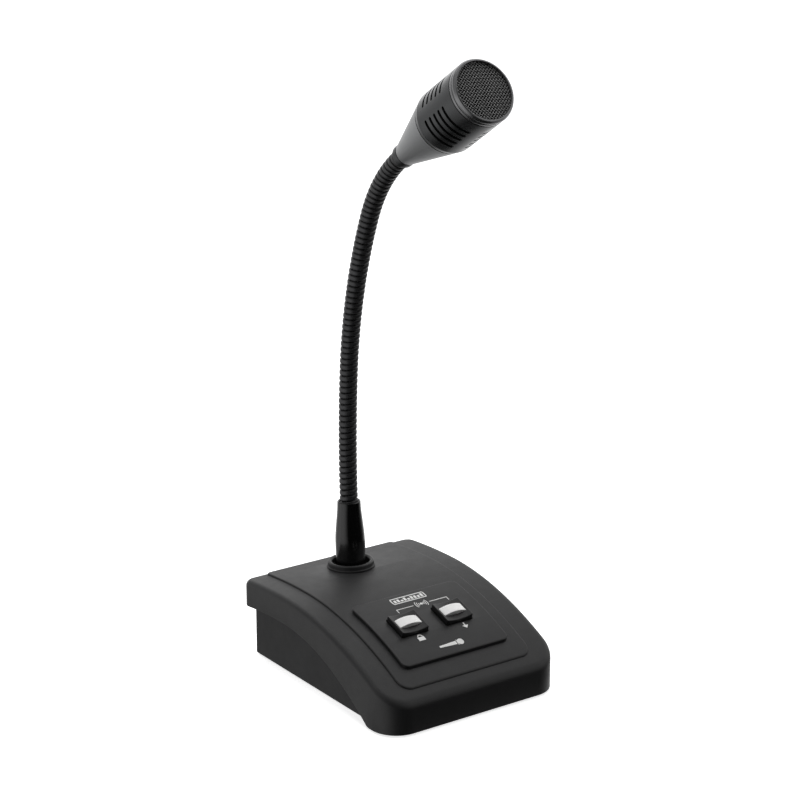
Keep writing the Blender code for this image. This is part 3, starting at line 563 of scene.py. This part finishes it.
def make_housing():
    """The recessed walls under the cover."""
    inner = HOUSING_INSET + HOUSING_WALL
    bevel, top = 0.0004, -0.0034
    rings = [
        base_ring(HOUSING_INSET + bevel, level(GROUND_GAP)),
        base_ring(HOUSING_INSET, level(GROUND_GAP + bevel)),
        base_ring(HOUSING_INSET, above_deck(top)),
        base_ring(inner, above_deck(top)),
        base_ring(inner, level(GROUND_GAP + bevel)),
        base_ring(inner - bevel, level(GROUND_GAP)),
    ]
    place, bore = outlet_place()
    hole = turned([(0.0, -0.008), (bore, -0.008), (bore, 0.008), (0.0, 0.008)], place, 64, False)
    # the walls take the darker copy of the cover's black, painted shade for the overhang
    piece("housing_walls", cut(lofted(rings, closed=True), [hole]), "black_abs", "base", ["lower_housing"],
          material="housing_black_shaded")


def outlet_place():
    """Frame in the rear wall's outer face at the cable outlet, Z pointing out, and the hole's radius."""
    low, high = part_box("cable_grommet")
    wall_y = BASE.y + BASE_DEPTH / 2 - HOUSING_INSET
    centre = Matrix.Translation(((low.x + high.x) / 2, wall_y, (low.z + high.z) / 2))
    return centre @ Matrix.Rotation(-math.pi / 2, 4, "X"), 0.0049


def make_grommet():
    inner = -HOUSING_WALL - 0.0003
    profile = [
        (0.0048, 0.0040, 0.0006),
        (0.0060, 0.0032, 0.0008),
        (0.0066, 0.0003, 0.0004),
        (0.0046, 0.0003, 0.0),
        (0.0046, inner, 0.0),
        (0.0060, inner, 0.0003),
        (0.0060, inner - 0.0016, 0.0003),
        (0.0032, inner - 0.0016, 0.0003),
        (0.0032, 0.0040, 0.0005),
    ]
    piece("outlet_grommet", turned(rounded_path(profile), outlet_place()[0], 96), "rubber", "base",
          ["cable_grommet"])


# Underside


def make_plate():
    low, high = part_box("base_plate")
    inset = HOUSING_INSET + HOUSING_WALL + 0.0003
    rings = [base_ring(inset + 0.0002, level(low.z)), base_ring(inset, level(low.z + 0.0002))]
    rings.append(base_ring(inset, level(high.z)))
    cutters = []
    for number in range(1, 5):
        place = centre_of(f"base_screw_{number}")[0]
        cutters.append(turned([(0.0, -0.01), (0.0019, -0.01), (0.0019, 0.01), (0.0, 0.01)], place, 48, False))
    piece("floor_plate", cut(lofted(rings, capped=True), cutters), "steel", "base", ["base_plate"])


def centre_of(name):
    """Frame at the middle of a node's underside, and the node's height."""
    low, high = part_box(name)
    return Matrix.Translation(((low.x + high.x) / 2, (low.y + high.y) / 2, low.z)), high.z - low.z


def make_feet():
    for number in range(1, 5):
        place, height = centre_of(f"rubber_foot_{number}")
        low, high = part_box(f"rubber_foot_{number}")
        radius = (high.x - low.x) / 2
        path = [Vector((0.0, 0.0002)), Vector((radius - 0.0018, 0.0002)), Vector((radius - 0.0014, 0.0))]
        path += [Vector((radius - inset, drop)) for inset, drop in reversed(rounding(0.0006, 5))]
        path += [Vector((radius, height)), Vector((0.0, height))]
        piece(f"foot_{number}", turned(path, place, 96, False), "rubber", "base", [f"rubber_foot_{number}"])


def make_screws():
    """Pan heads with a cross recess, seen from below."""
    for number in range(1, 5):
        place, height = centre_of(f"base_screw_{number}")
        path = [Vector((0.0, 0.0)), Vector((0.0016, 0.0001))]
        path += [Vector((0.0028 - inset, drop)) for inset, drop in reversed(rounding(0.0008, 5))]
        path += [Vector((0.0028, 0.0010)), Vector((0.0014, 0.0010))]
        path += [Vector((0.0014, height - 0.0008)), Vector((0.0010, height)), Vector((0.0, height))]
        cutters = []
        for turn in (0, math.pi / 2):
            where = place @ Matrix.Rotation(turn + 0.5 * number, 4, "Z")
            cutters.append(block((0.0030, 0.0007, 0.0014), where))
        screw = cut(turned(path, place, 64, False), cutters)
        piece(f"floor_screw_{number}", screw, "steel", "base", [f"base_screw_{number}"])


# Panel, keys and print


def make_panel():
    def panel_at(inset):
        front, rear = PANEL_Y - PANEL_HALF_DEPTH, PANEL_Y + PANEL_HALF_DEPTH
        return outline(PANEL_HALF_WIDTH, front, rear, PANEL_CORNER, PANEL_CORNER, inset)

    plate = slab(panel_at, PLATEAU_RISE + 0.0003, PANEL_RISE, 0.0005)
    cutters = []
    for side in (-1, 1):
        window = [(KEY_WIDTH / 2 + 0.0004 + flare, KEY_DEPTH / 2 + 0.0004 + flare, height)
                  for flare, height in ((0, -0.008), (0, -0.0003), (0.0006, 0.0003))]
        rings = []
        for half_width, half_depth, height in window:
            half = outline(half_width, -half_depth, half_depth, 0.0009, 0.0009, 0.0, 6, 2)
            rings.append(ring_of(half, lambda x, y, height=height: height, panel_place(side * KEY_X)))
        cutters.append(lofted(rings, capped=True))
    piece("panel_plate", cut(plate, cutters), "panel_satin", "base", ["control_panel"])


def arc_height(half_width, ends, middle):
    """Height of a shallow arc across X, given its heights at the ends and in the middle."""
    sag = middle - ends
    radius = (half_width**2 + sag**2) / (2 * abs(sag))

    def height(x, y):
        drop = radius - math.sqrt(radius**2 - min(abs(x), half_width) ** 2)
        return middle - math.copysign(drop, sag)

    return height


def full_ring(half_width, half_depth, corner, inset, height, place, corner_steps=6, side_steps=16):
    """A rounded rectangle with points along all four sides, from the middle of its front."""
    wide, deep = half_width - inset, half_depth - inset
    corner = max(corner - inset, 0.0)
    flat_x, flat_y = max(wide - corner, 0.0), max(deep - corner, 0.0)
    points = []
    for quarter, (sign_x, sign_y) in enumerate(((1, -1), (1, 1), (-1, 1), (-1, -1))):
        for step in range(corner_steps + 1):
            turn = math.radians(90 * (quarter - 1 + step / corner_steps))
            points.append((sign_x * flat_x + corner * math.cos(turn),
                           sign_y * flat_y + corner * math.sin(turn)))
        ahead = ((1, 1), (-1, 1), (-1, -1), (1, -1))[quarter]
        turn = math.radians(90 * quarter)
        last = (ahead[0] * flat_x + corner * math.cos(turn), ahead[1] * flat_y + corner * math.sin(turn))
        first = points[-1]
        for step in range(1, side_steps):
            t = step / side_steps
            points.append((first[0] * (1 - t) + last[0] * t, first[1] * (1 - t) + last[1] * t))
    return [place @ Vector((x, y, height(x, y))) for x, y in points]


def pillow(half_width, half_depth, corner, bottom, top_at, fillet, place):
    """A block with rounded upright corners, a curved top and a rounded top edge."""
    def ring(inset, height):
        return full_ring(half_width, half_depth, corner, inset, height, place)

    rings = [ring(0.0, lambda x, y: bottom)]
    for inset, drop in rounding(fillet, 5):
        rings.append(ring(inset, lambda x, y, drop=drop: top_at(x, y) - drop))
    limit = min(half_width, half_depth)
    for step in range(1, 13):
        rings.append(ring(fillet + (limit - fillet) * step / 12, top_at))
    bm = lofted(rings)
    bm.verts.ensure_lookup_table()
    bm.faces.new([bm.verts[index] for index in range(len(rings[0]))])
    return bm


def make_keys():
    """Each key is a dished block that holds a white insert with a crowned top."""
    for name, side in (("lock_key", -1), ("push_key", 1)):
        place = panel_place(side * KEY_X)
        dish = arc_height(KEY_WIDTH / 2, KEY_RISE, KEY_RISE - KEY_DISH)
        body = pillow(KEY_WIDTH / 2, KEY_DEPTH / 2, 0.0007, -KEY_SKIRT, dish, 0.0004, place)
        pocket = block((CAP_WIDTH + 0.0004, CAP_DEPTH + 0.0004, 0.010),
                       place @ Matrix.Translation((0, 0, CAP_SEAT + 0.005)))
        piece(f"{name}_block", cut(body, [pocket]), "key_black", f"{name}_body", [name], 30)
        crown = arc_height(CAP_WIDTH / 2, CAP_SHOULDER, CAP_CREST)
        insert = pillow(CAP_WIDTH / 2, CAP_DEPTH / 2, 0.0004, CAP_SEAT + 0.0003, crown, 0.0003, place)
        piece(f"{name}_insert", insert, "key_white", f"{name}_body", [f"{name}_cap"], 30)


def printed(name, shapes):
    """Thin white print on the panel. A shape is a closed outline of (x, y) from the base's middle."""
    bm = bmesh.new()
    for shape in shapes:
        rows = []
        for rise in (-2 * PRINT_THICK, PRINT_THICK):
            spots = [BASE + Vector((x, y, deck_height(y) + PANEL_RISE + rise)) for x, y in shape]
            rows.append([bm.verts.new(spot) for spot in spots])
        bm.faces.new(rows[0])
        bm.faces.new(rows[1])
        for index in range(len(shape)):
            after = (index + 1) % len(shape)
            bm.faces.new((rows[0][index], rows[0][after], rows[1][after], rows[1][index]))
    piece(name, bm, "key_white", "base", material="print_white")


def bar(x, y, width, depth):
    """Rectangle about a centre."""
    return [(x - width / 2, y - depth / 2), (x + width / 2, y - depth / 2),
            (x + width / 2, y + depth / 2), (x - width / 2, y + depth / 2)]


def ring_arc(x, y, radius, width, start, end, steps=14):
    """A curved stroke round a centre, between two angles in degrees."""
    turns = [math.radians(start + (end - start) * step / steps) for step in range(steps + 1)]
    outer = [(x + (radius + width / 2) * math.cos(t), y + (radius + width / 2) * math.sin(t)) for t in turns]
    inner = [(x + (radius - width / 2) * math.cos(t), y + (radius - width / 2) * math.sin(t)) for t in turns]
    return outer + inner[::-1]


def line(start, end, width):
    """A straight stroke between two points."""
    along = (Vector(end) - Vector(start)).normalized() * width / 2
    side = Vector((-along.y, along.x))
    first, last = Vector(start) - along, Vector(end) + along
    return [tuple(first + side), tuple(last + side), tuple(last - side), tuple(first - side)]


STROKE = 0.00045
BRACKET_Y = PANEL_Y + 0.0136
BRACKET_ARMS = ((-0.0018, -0.0133), (0.0098, 0.0215))  # inner and outer ends
BRACKET_TICK = 0.0026
WAVES_X = 0.0040
METER_WIDTH, METER_DEPTH = 0.0226, 0.0048
METER_Y = PANEL_Y + 0.0211
METER_STROKE = 0.0007
METER_PITCH = 0.0023
LABEL_Y = PANEL_Y - 0.0110
PADLOCK_X = -0.0140
ARROW_X = 0.0168
MICROPHONE_X, MICROPHONE_Y = 0.0007, PANEL_Y - 0.0206


def print_bracket():
    """A bracket over both keys, with sound waves in its gap."""
    shapes = []
    for inner, outer in BRACKET_ARMS:
        shapes.append(line((inner, BRACKET_Y), (outer, BRACKET_Y), STROKE))
        shapes.append(line((outer, BRACKET_Y), (outer, BRACKET_Y - BRACKET_TICK), STROKE))
    shapes.append(ring_arc(WAVES_X, BRACKET_Y, 0.00045, 0.0009, 0, 359, 20))
    for radius in (0.0016, 0.0028, 0.0040):
        shapes.append(ring_arc(WAVES_X, BRACKET_Y, radius, STROKE, -38, 38))
        shapes.append(ring_arc(WAVES_X, BRACKET_Y, radius, STROKE, 142, 218))
    printed("print_talk_bracket", shapes)


def print_meter():
    """A framed level meter of nine bars."""
    shapes = []
    for side in (-1, 1):
        shapes.append(bar(0, METER_Y + side * METER_DEPTH / 2, METER_WIDTH, METER_STROKE))
    for side in (-1, 1):
        shapes.append(bar(side * METER_WIDTH / 2, METER_Y, METER_STROKE, METER_DEPTH - 0.0008))
    for number in range(9):
        tall = 0.0011 + 0.0019 * abs(math.sin(1.3 * number + 0.8))
        shapes.append(bar((number - 4) * METER_PITCH, METER_Y - 0.0015 + tall / 2, 0.0016, tall))
    printed("print_level_meter", shapes)


def make_print():
    """Plain marks, without lettering."""
    print_bracket()
    print_meter()
    shackle = ring_arc(PADLOCK_X, LABEL_Y + 0.0006, 0.0014, 0.0006, 0, 180)
    printed("print_padlock", [bar(PADLOCK_X, LABEL_Y - 0.0009, 0.0044, 0.0026), shackle])
    shaft = line((ARROW_X, LABEL_Y + 0.0017), (ARROW_X, LABEL_Y - 0.0002), 0.0008)
    point = [(ARROW_X - 0.0020, LABEL_Y), (ARROW_X, LABEL_Y - 0.0022), (ARROW_X + 0.0020, LABEL_Y)]
    printed("print_push_arrow", [shaft, point])
    x, y = MICROPHONE_X, MICROPHONE_Y
    handle = [(x - 0.0085, y - 0.0006), (x + 0.0030, y - 0.0012), (x + 0.0030, y + 0.0012),
              (x - 0.0085, y + 0.0006)]
    grille = ring_arc(x + 0.0058, y, 0.0010, 0.0020, 0, 359, 24)
    printed("print_microphone", [handle, grille, bar(x + 0.0037, y, 0.0005, 0.0036)])


# Neck


def neck_at(distance):
    """Point and lean from the vertical, at this distance along the neck from its first joint."""
    lean = NECK_LEAN
    point = NECK_START.copy()
    left = distance
    for radius, degrees in NECK_BENDS:
        if left <= 0:
            break
        end = lean + min(left / radius, math.radians(degrees))
        point += Vector((0, math.cos(end) - math.cos(lean), math.sin(end) - math.sin(lean))) * radius
        left -= radius * math.radians(degrees)
        lean = end
    if left > 0 or distance < 0:
        point += Vector((0, -math.sin(lean), math.cos(lean))) * left
    return point, lean


def head_place():
    """Frame at the joint between cone and body, its Z along the head."""
    end, lean = neck_at(NECK_LENGTH)
    axis = Vector((0, -math.sin(lean), math.cos(lean)))
    return Matrix.Translation(end + axis * HEAD_START) @ Matrix.Rotation(lean, 4, "X")


TURN_PITCH = 0.0035
TURN_SAMPLES = 14
TURN_CROWN = 0.00045  # fall from a turn's crest to its edge
GROOVE_DEPTH = 0.00050
GROOVE_START = 0.78  # share of the way from crest to edge
NECK_SIDES = 48
SKIN_START = -0.0150
SKIN_OVERLAP = 0.0030  # the skin's length inside the cone
BLEND_REACH = 0.0110
FIRST_BLEND_REACH = 0.0020


def turn_profile(phase):
    """Depth below the crest, and the crest share across one turn of the winding: it sets the painted shade in the
    grooves and the rubbed crests.
    """
    across = abs(2 * phase - 1)
    depth = TURN_CROWN * across**2.2
    if across > GROOVE_START:
        depth += GROOVE_DEPTH * ((across - GROOVE_START) / (1 - GROOVE_START)) ** 0.7
    return depth, max(0.0, 1.0 - max(0.0, across - 0.55) / 0.35)


def make_neck():
    """The wound skin, one length for each joint, from the middle of one segment to the next."""
    pitch = NECK_LENGTH / 8
    end = NECK_LENGTH + HEAD_START - CONE_REAR + SKIN_OVERLAP
    step = TURN_PITCH / TURN_SAMPLES
    edges = [SKIN_START]
    edges += [round((number - 0.5) * pitch / step) * step for number in range(1, 8)]
    edges.append(end)
    for number in range(1, 9):
        low, high = edges[number - 1], edges[number]
        count = max(1, round((high - low) / step))
        bm = bmesh.new()
        layer = bm.verts.layers.float.new("crest")
        rows = []
        for index in range(count + 1):
            distance = low + (high - low) * index / count
            point, lean = neck_at(distance)
            up = Vector((0, math.cos(lean), math.sin(lean)))
            row = []
            for side in range(NECK_SIDES):
                turn = math.tau * side / NECK_SIDES
                phase = (distance / TURN_PITCH - side / NECK_SIDES) % 1.0
                depth, crest = turn_profile(phase)
                out = Vector((1, 0, 0)) * math.cos(turn) + up * math.sin(turn)
                vertex = bm.verts.new(point + out * (NECK_RADIUS - depth))
                # crest share, which the neck paint turns into painted shade in the grooves and wear on the crests
                vertex[layer] = crest
                row.append(vertex)
            rows.append(row)
        for row, after in zip(rows, rows[1:]):
            for side in range(NECK_SIDES):
                other = (side + 1) % NECK_SIDES
                bm.faces.new((row[side], row[other], after[other], after[side]))
        name = f"gooseneck_winding_{number}"
        skin = piece(name, bm, "neck_black", None, [f"gooseneck_segment_{number}"], 60)
        joint = (number - 1) * pitch
        reach = FIRST_BLEND_REACH if number == 1 else BLEND_REACH
        near, far = neck_at(joint - reach)[0], neck_at(joint + BLEND_REACH)[0]
        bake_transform(skin)
        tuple(near)
        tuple(far)


BOOT_TOP = 0.0402


def make_neck_foot():
    """The plain lower tube inside the boot, the boot and the collar round the neck hole."""
    place = neck_place()
    tube = [
        (0.0019, 0.0400, 0.0003),
        (0.0046, 0.0400, 0.0003),
        (0.0046, -0.0057, 0.0),
        (0.0076, -0.0057, 0.0002),
        (0.0076, -0.0075, 0.0002),
        (0.0046, -0.0075, 0.0),
        (0.0046, -0.0180, 0.0003),
        (0.0019, -0.0180, 0.0002),
    ]
    piece("neck_foot_tube", turned(rounded_path(tube), place, 64), "steel", "base", ["neck_base_tube"])
    top = BOOT_TOP
    outer = smooth_path([
        (0.0085, top - 0.0456),
        (0.0087, top - 0.0340),
        (0.0088, top - 0.0270),
        (0.0087, top - 0.0215),
        (0.0081, top - 0.0147),
        (0.0072, top - 0.0060),
        (0.0069, top - 0.0009),
    ])
    rim = [Vector((0.0069 - inset, top - drop)) for inset, drop in rounding(0.0006, 5)]
    bore = [Vector((0.0058, top - 0.0004)), Vector((0.0058, top - 0.0456))]
    piece("boot", turned(outer + rim + bore, place, 128), "gloss_black", "base", ["gooseneck_boot"])
    collar = [
        (0.0117, 0.0036, 0.0010),
        (0.0125, 0.00385, 0.0008),
        (0.0136, 0.0034, 0.0012),
        (0.0137, 0.0010, 0.0003),
        (0.0142, 0.0008, 0.0003),
        (0.0142, 0.0002, 0.0),
        (0.0120, 0.0002, 0.0),
        (0.0120, -0.0030, 0.0),
        (0.0111, -0.0030, 0.0003),
        (0.0111, 0.0029, 0.0006),
    ]
    piece("neck_collar", turned(rounded_path(collar), place, 128), "black_abs", "base", ["collar_ring"])


# Head


def make_cone():
    place = head_place()
    rear = -CONE_REAR
    cone = [
        (CONE_FRONT_RADIUS, -0.0005, 0.0002),
        (CONE_REAR_RADIUS, rear, 0.0005),
        (NECK_RADIUS + 0.0002, rear, 0.0002),
        (NECK_RADIUS + 0.0002, rear + 0.0045, 0.0),
        (CONE_FRONT_RADIUS - HEAD_WALL, -0.0005, 0.0),
    ]
    shell = turned(rounded_path(cone), place, 160)
    # painted light: the cone takes the lighter copy of the head paint
    piece("cone_shell", shell, "head_satin", "neck_8_and_head", ["head_cone"], material="cone_satin_lit")
    ferrule = [
        (0.0067, rear - 0.0003, 0.0003),
        (0.0068, rear - 0.0038, 0.0005),
        (0.0063, rear - 0.0042, 0.0003),
        (NECK_RADIUS + 0.0001, rear - 0.0042, 0.0),
        (NECK_RADIUS + 0.0001, rear - 0.0003, 0.0),
    ]
    piece("ferrule_ring", turned(rounded_path(ferrule), place, 96), "neck_black", "neck_8_and_head",
          ["neck_ferrule"], material="head_satin")


SLOT_FIRST = 0.0095
SLOT_PITCH = 0.00445
SLOT_WIDTH = 0.0018
SLOT_ARC = 67.0
SLOT_START = -178.5
SLOT_GROUPS = 4
SLOTS_IN_GROUP = 5
SLOT_SIDE_STEPS = 24
SLOT_END_STEPS = 8


def slot_outline(start, wide):
    """Turn in degrees and offset along the head of each point of a slot with rounded ends."""
    end_turn = math.degrees(SLOT_WIDTH / 2 / HEAD_RADIUS)
    length = SLOT_ARC - 2 * end_turn
    near, far = start + end_turn, start + SLOT_ARC - end_turn
    points = [(near + length * step / SLOT_SIDE_STEPS, -wide) for step in range(SLOT_SIDE_STEPS + 1)]
    turns = [math.pi * step / SLOT_END_STEPS for step in range(1, SLOT_END_STEPS)]
    ends = [(math.degrees(wide * math.sin(turn) / HEAD_RADIUS), wide * math.cos(turn)) for turn in turns]
    points += [(far + past, -offset) for past, offset in ends]
    points += [(far - length * step / SLOT_SIDE_STEPS, wide) for step in range(SLOT_SIDE_STEPS + 1)]
    points += [(near - past, offset) for past, offset in ends]
    return points


def slot_cutter(place, start, middle):
    """A slot with rounded ends and a slightly flared mouth, curved round the body."""
    bm = bmesh.new()
    half = SLOT_WIDTH / 2
    levels = (
        (HEAD_RADIUS - 2 * HEAD_WALL, half),
        (HEAD_RADIUS - 0.0002, half),
        (HEAD_RADIUS + 0.0003, half + 0.0001),
    )
    rows = []
    for radius, wide in levels:
        row = []
        for degrees, offset in slot_outline(start, wide):
            turn = math.radians(degrees)
            spot = Vector((radius * math.cos(turn), radius * math.sin(turn), middle + offset))
            row.append(bm.verts.new(place @ spot))
        rows.append(row)
    for low, high in zip(rows, rows[1:]):
        for index in range(len(low)):
            after = (index + 1) % len(low)
            bm.faces.new((low[index], low[after], high[after], high[index]))
    far_end, last = SLOT_SIDE_STEPS + SLOT_END_STEPS, 2 * SLOT_SIDE_STEPS + SLOT_END_STEPS
    for row in (rows[0], rows[-1]):
        for index in range(SLOT_SIDE_STEPS):
            bm.faces.new((row[index], row[index + 1], row[last - index - 1], row[last - index]))
        bm.faces.new(row[SLOT_SIDE_STEPS:far_end + 1])
        bm.faces.new(row[last:] + row[:1])
    return bm


def make_body():
    place = head_place()
    inner = HEAD_RADIUS - HEAD_WALL
    spigot = CONE_FRONT_RADIUS - HEAD_WALL - 0.0004
    profile = [
        (HEAD_RADIUS, BODY_FRONT, 0.0004),
        (HEAD_RADIUS, 0.0030, 0.0020),
        (CONE_FRONT_RADIUS + 0.0003, 0.0005, 0.0002),
        (spigot, 0.0005, 0.0),
        (spigot - 0.0016, -0.0050, 0.0),
        (spigot - 0.0028, -0.0050, 0.0),
        (spigot - 0.0012, 0.0022, 0.0),
        (inner, 0.0060, 0.0),
        (inner, BODY_FRONT, 0.0),
    ]
    cutters = []
    for group in range(SLOT_GROUPS):
        start = SLOT_START + 360 / SLOT_GROUPS * group
        for number in range(SLOTS_IN_GROUP):
            cutters.append(slot_cutter(place, start, SLOT_FIRST + number * SLOT_PITCH))
    body = cut(turned(rounded_path(profile), place, 256), cutters)
    piece("slotted_body", body, "head_satin", "neck_8_and_head", ["head_body"])


def make_ring():
    place = head_place()
    back = BODY_FRONT + 0.0003
    ring = [
        (0.01630, RING_FRONT - 0.0014, 0.0003),
        (0.01640, RING_FRONT - 0.0003, 0.0001),
        (0.01665, RING_FRONT, 0.0002),
        (0.01752, RING_FRONT - 0.0003, 0.0003),
        (0.01820, RING_FRONT - 0.0015, 0.0006),
        (0.01822, RING_FRONT - 0.0024, 0.0002),
        (0.01775, RING_FRONT - 0.0027, 0.0001),
        (0.01775, RING_FRONT - 0.0033, 0.0001),
        (0.01815, RING_FRONT - 0.0036, 0.0003),
        (0.01820, back, 0.0003),
        (0.01580, back, 0.0),
        (0.01580, back + 0.0021, 0.0),
        (0.01630, back + 0.0021, 0.0),
    ]
    bezel = turned(rounded_path(ring), place, 192)
    # painted light: the ring takes the lighter copy of the head paint
    piece("head_ring", bezel, "head_satin", "neck_8_and_head", ["front_ring"], material="ring_satin_lit")


WEAVE_PITCH = 0.00143
WIRE_RADIUS = 0.00024
WEAVE_TURN = 41.0
WEAVE_DEPTH = 0.0017
WIRE_SIDES = 6
DOME = 0.0006


def make_mesh():
    """Woven wires: each rises over one crossing wire and dips under the next."""
    middle = Matrix.Translation((0, 0, RING_FRONT - WEAVE_DEPTH))
    place = head_place() @ middle @ Matrix.Rotation(math.radians(WEAVE_TURN), 4, "Z")
    bm = bmesh.new()
    reach = MESH_RADIUS - 0.0001
    count = int(reach / WEAVE_PITCH)
    for across in (0, 1):
        for number in range(-count, count + 1):
            offset = number * WEAVE_PITCH
            half = math.sqrt(max(reach**2 - offset**2, 0.0))
            steps = max(4, round(2 * half / (WEAVE_PITCH / 6)))
            rows = []
            for step in range(steps + 1):
                along = -half + 2 * half * step / steps
                wave = math.cos(math.pi * along / WEAVE_PITCH) * (-1) ** (number + across)
                height = WIRE_RADIUS * 1.02 * wave + DOME * (1 - (along**2 + offset**2) / reach**2)
                row = []
                for side in range(WIRE_SIDES):
                    turn = math.tau * side / WIRE_SIDES
                    x, y = along, offset + WIRE_RADIUS * math.cos(turn)
                    if across:
                        x, y = y, x
                    spot = Vector((x, y, height + WIRE_RADIUS * math.sin(turn)))
                    row.append(bm.verts.new(place @ spot))
                rows.append(row)
            for low, high in zip(rows, rows[1:]):
                for side in range(WIRE_SIDES):
                    after = (side + 1) % WIRE_SIDES
                    bm.faces.new((low[side], low[after], high[after], high[side]))
            bm.faces.new(rows[0])
            bm.faces.new(rows[-1])
    piece("woven_mesh", bm, "mesh_steel", "neck_8_and_head", ["mesh_grille"], 80)


# Carried-over nodes


def refinish_nodes():
    """Gives each node that still shows the detailed finish of its slot."""
    slots = {entry["node"]: entry["material_slot"] for entry in frame["record"]["subparts"]}
    for name, obj in frame["nodes"].items():
        if obj.hide_render:
            continue
        for index in range(len(obj.material_slots)):
            obj.material_slots[index].link = "OBJECT"
            obj.material_slots[index].material = FINISHES[slots[name]]


# Studio


VIEW_PLACE = (-0.7528, -1.0665, 0.5810)
VIEW_TILT = 72.318
VIEW_TURN = -35.226
VIEW_LENS = 110.27
FLOOR_REACH = 8.0
LOBES = (  # direction, cosines where it starts and is full, strength
    ((0.56, 0.80, 0.25), 0.45, 0.90, 0.78),
    ((0.56, 0.80, -0.35), 0.60, 0.95, 0.60),
    ((-0.58, 0.78, -0.08), 0.80, 0.97, 0.55),
    ((-0.91, 0.04, -0.41), 0.70, 0.97, 0.80),
    ((-0.90, 0.05, 0.45), 0.70, 0.97, 0.30),
    ((0.0, 0.1, 1.0), 0.60, 0.95, 0.42),
    ((0.72, 0.12, -0.68), 0.78, 0.97, 0.45),
    ((0.55, -0.68, 0.48), 0.86, 0.98, 0.60),
    ((0.85, -0.10, 0.40), 0.75, 0.97, 0.45),
)
LIGHTS = (  # name, place, size, power
    ("overhead", (0.1, 0.3, 1.4), (1.0, 1.0), 12),
)


def area_light(name, location, target, size, power):
    data = bpy.data.lights.new(name, "AREA")
    data.shape = "RECTANGLE"
    data.size, data.size_y = size
    data.energy = power
    light = bpy.data.objects.new(name, data)
    bpy.context.scene.collection.objects.link(light)
    light.location = location
    light.visible_glossy = False
    light.rotation_euler = (Vector(target) - Vector(location)).to_track_quat("-Z", "Y").to_euler()


def make_studio():
    """A plain pale floor that the object doesn't mirror, the surround and the light."""
    bm = bmesh.new()
    bmesh.ops.create_grid(bm, x_segments=1, y_segments=1, size=FLOOR_REACH)
    mesh = bpy.data.meshes.new("studio_floor")
    bm.to_mesh(mesh)
    bm.free()
    floor = bpy.data.objects.new("studio_floor", mesh)
    bpy.context.scene.collection.objects.link(floor)
    paper = bpy.data.materials.new("studio_paper")
    paper.use_nodes = True
    shader = paper.node_tree.nodes["Principled BSDF"]
    shader.inputs["Base Color"].default_value = (0.93, 0.93, 0.93, 1.0)
    shader.inputs["Roughness"].default_value = 0.9
    shader.inputs["Specular IOR Level"].default_value = 0.1
    shader.inputs["Emission Color"].default_value = (1.0, 1.0, 1.0, 1.0)
    shader.inputs["Emission Strength"].default_value = 0.75
    mesh.materials.append(paper)
    floor.visible_glossy = False
    floor.visible_diffuse = False
    floor.visible_shadow = False
    make_surround()
    middle = BASE + Vector((0, 0, 0.15))
    for name, place, size, power in LIGHTS:
        area_light(name, BASE + Vector(place), middle, size, power)
    bpy.context.scene.view_settings.view_transform = "Standard"


def make_surround():
    """Soft patches of light all round the object, and a plain pale surround to look at."""
    world = bpy.data.worlds.new("studio")
    bpy.context.scene.world = world
    world.use_nodes = True
    tree = world.node_tree
    direction = node(tree, "ShaderNodeTexCoord").outputs["Generated"]
    total = None
    for toward, start, full, strength in LOBES:
        facing = node(tree, "ShaderNodeVectorMath", set_operation="DOT_PRODUCT", i0=direction,
                      i1=Vector(toward).normalized())
        patch = ramp(tree, facing.outputs["Value"], 0.0, strength, start, full)
        total = patch if total is None else node(tree, "ShaderNodeMath", i0=total, i1=patch).outputs[0]
    light = tree.nodes["Background"]
    light.inputs["Color"].default_value = (1.0, 1.0, 1.0, 1.0)
    tree.links.new(total, light.inputs["Strength"])
    plain = node(tree, "ShaderNodeBackground", Color=(1.0, 1.0, 1.0, 1.0), Strength=1.0)
    seen = node(tree, "ShaderNodeLightPath").outputs["Is Camera Ray"]
    joined = node(tree, "ShaderNodeMixShader", i0=seen, i1=light.outputs[0], i2=plain.outputs[0])
    tree.links.new(joined.outputs[0], tree.nodes["World Output"].inputs["Surface"])


def make_camera():
    data = bpy.data.cameras.new("view")
    data.sensor_width = 36.0
    data.lens = VIEW_LENS
    camera = bpy.data.objects.new("view", data)
    bpy.context.scene.collection.objects.link(camera)
    camera.location = BASE + Vector(VIEW_PLACE)
    camera.rotation_euler = (math.radians(VIEW_TILT), 0.0, math.radians(VIEW_TURN))
    bpy.context.scene.camera = camera


FINISHES = make_finishes()
make_cover()
make_housing()
make_grommet()
make_plate()
make_feet()
make_screws()
make_panel()
make_keys()
make_print()
make_neck_foot()
make_neck()
make_cone()
make_body()
make_ring()
make_mesh()
refinish_nodes()
make_studio()
make_camera()
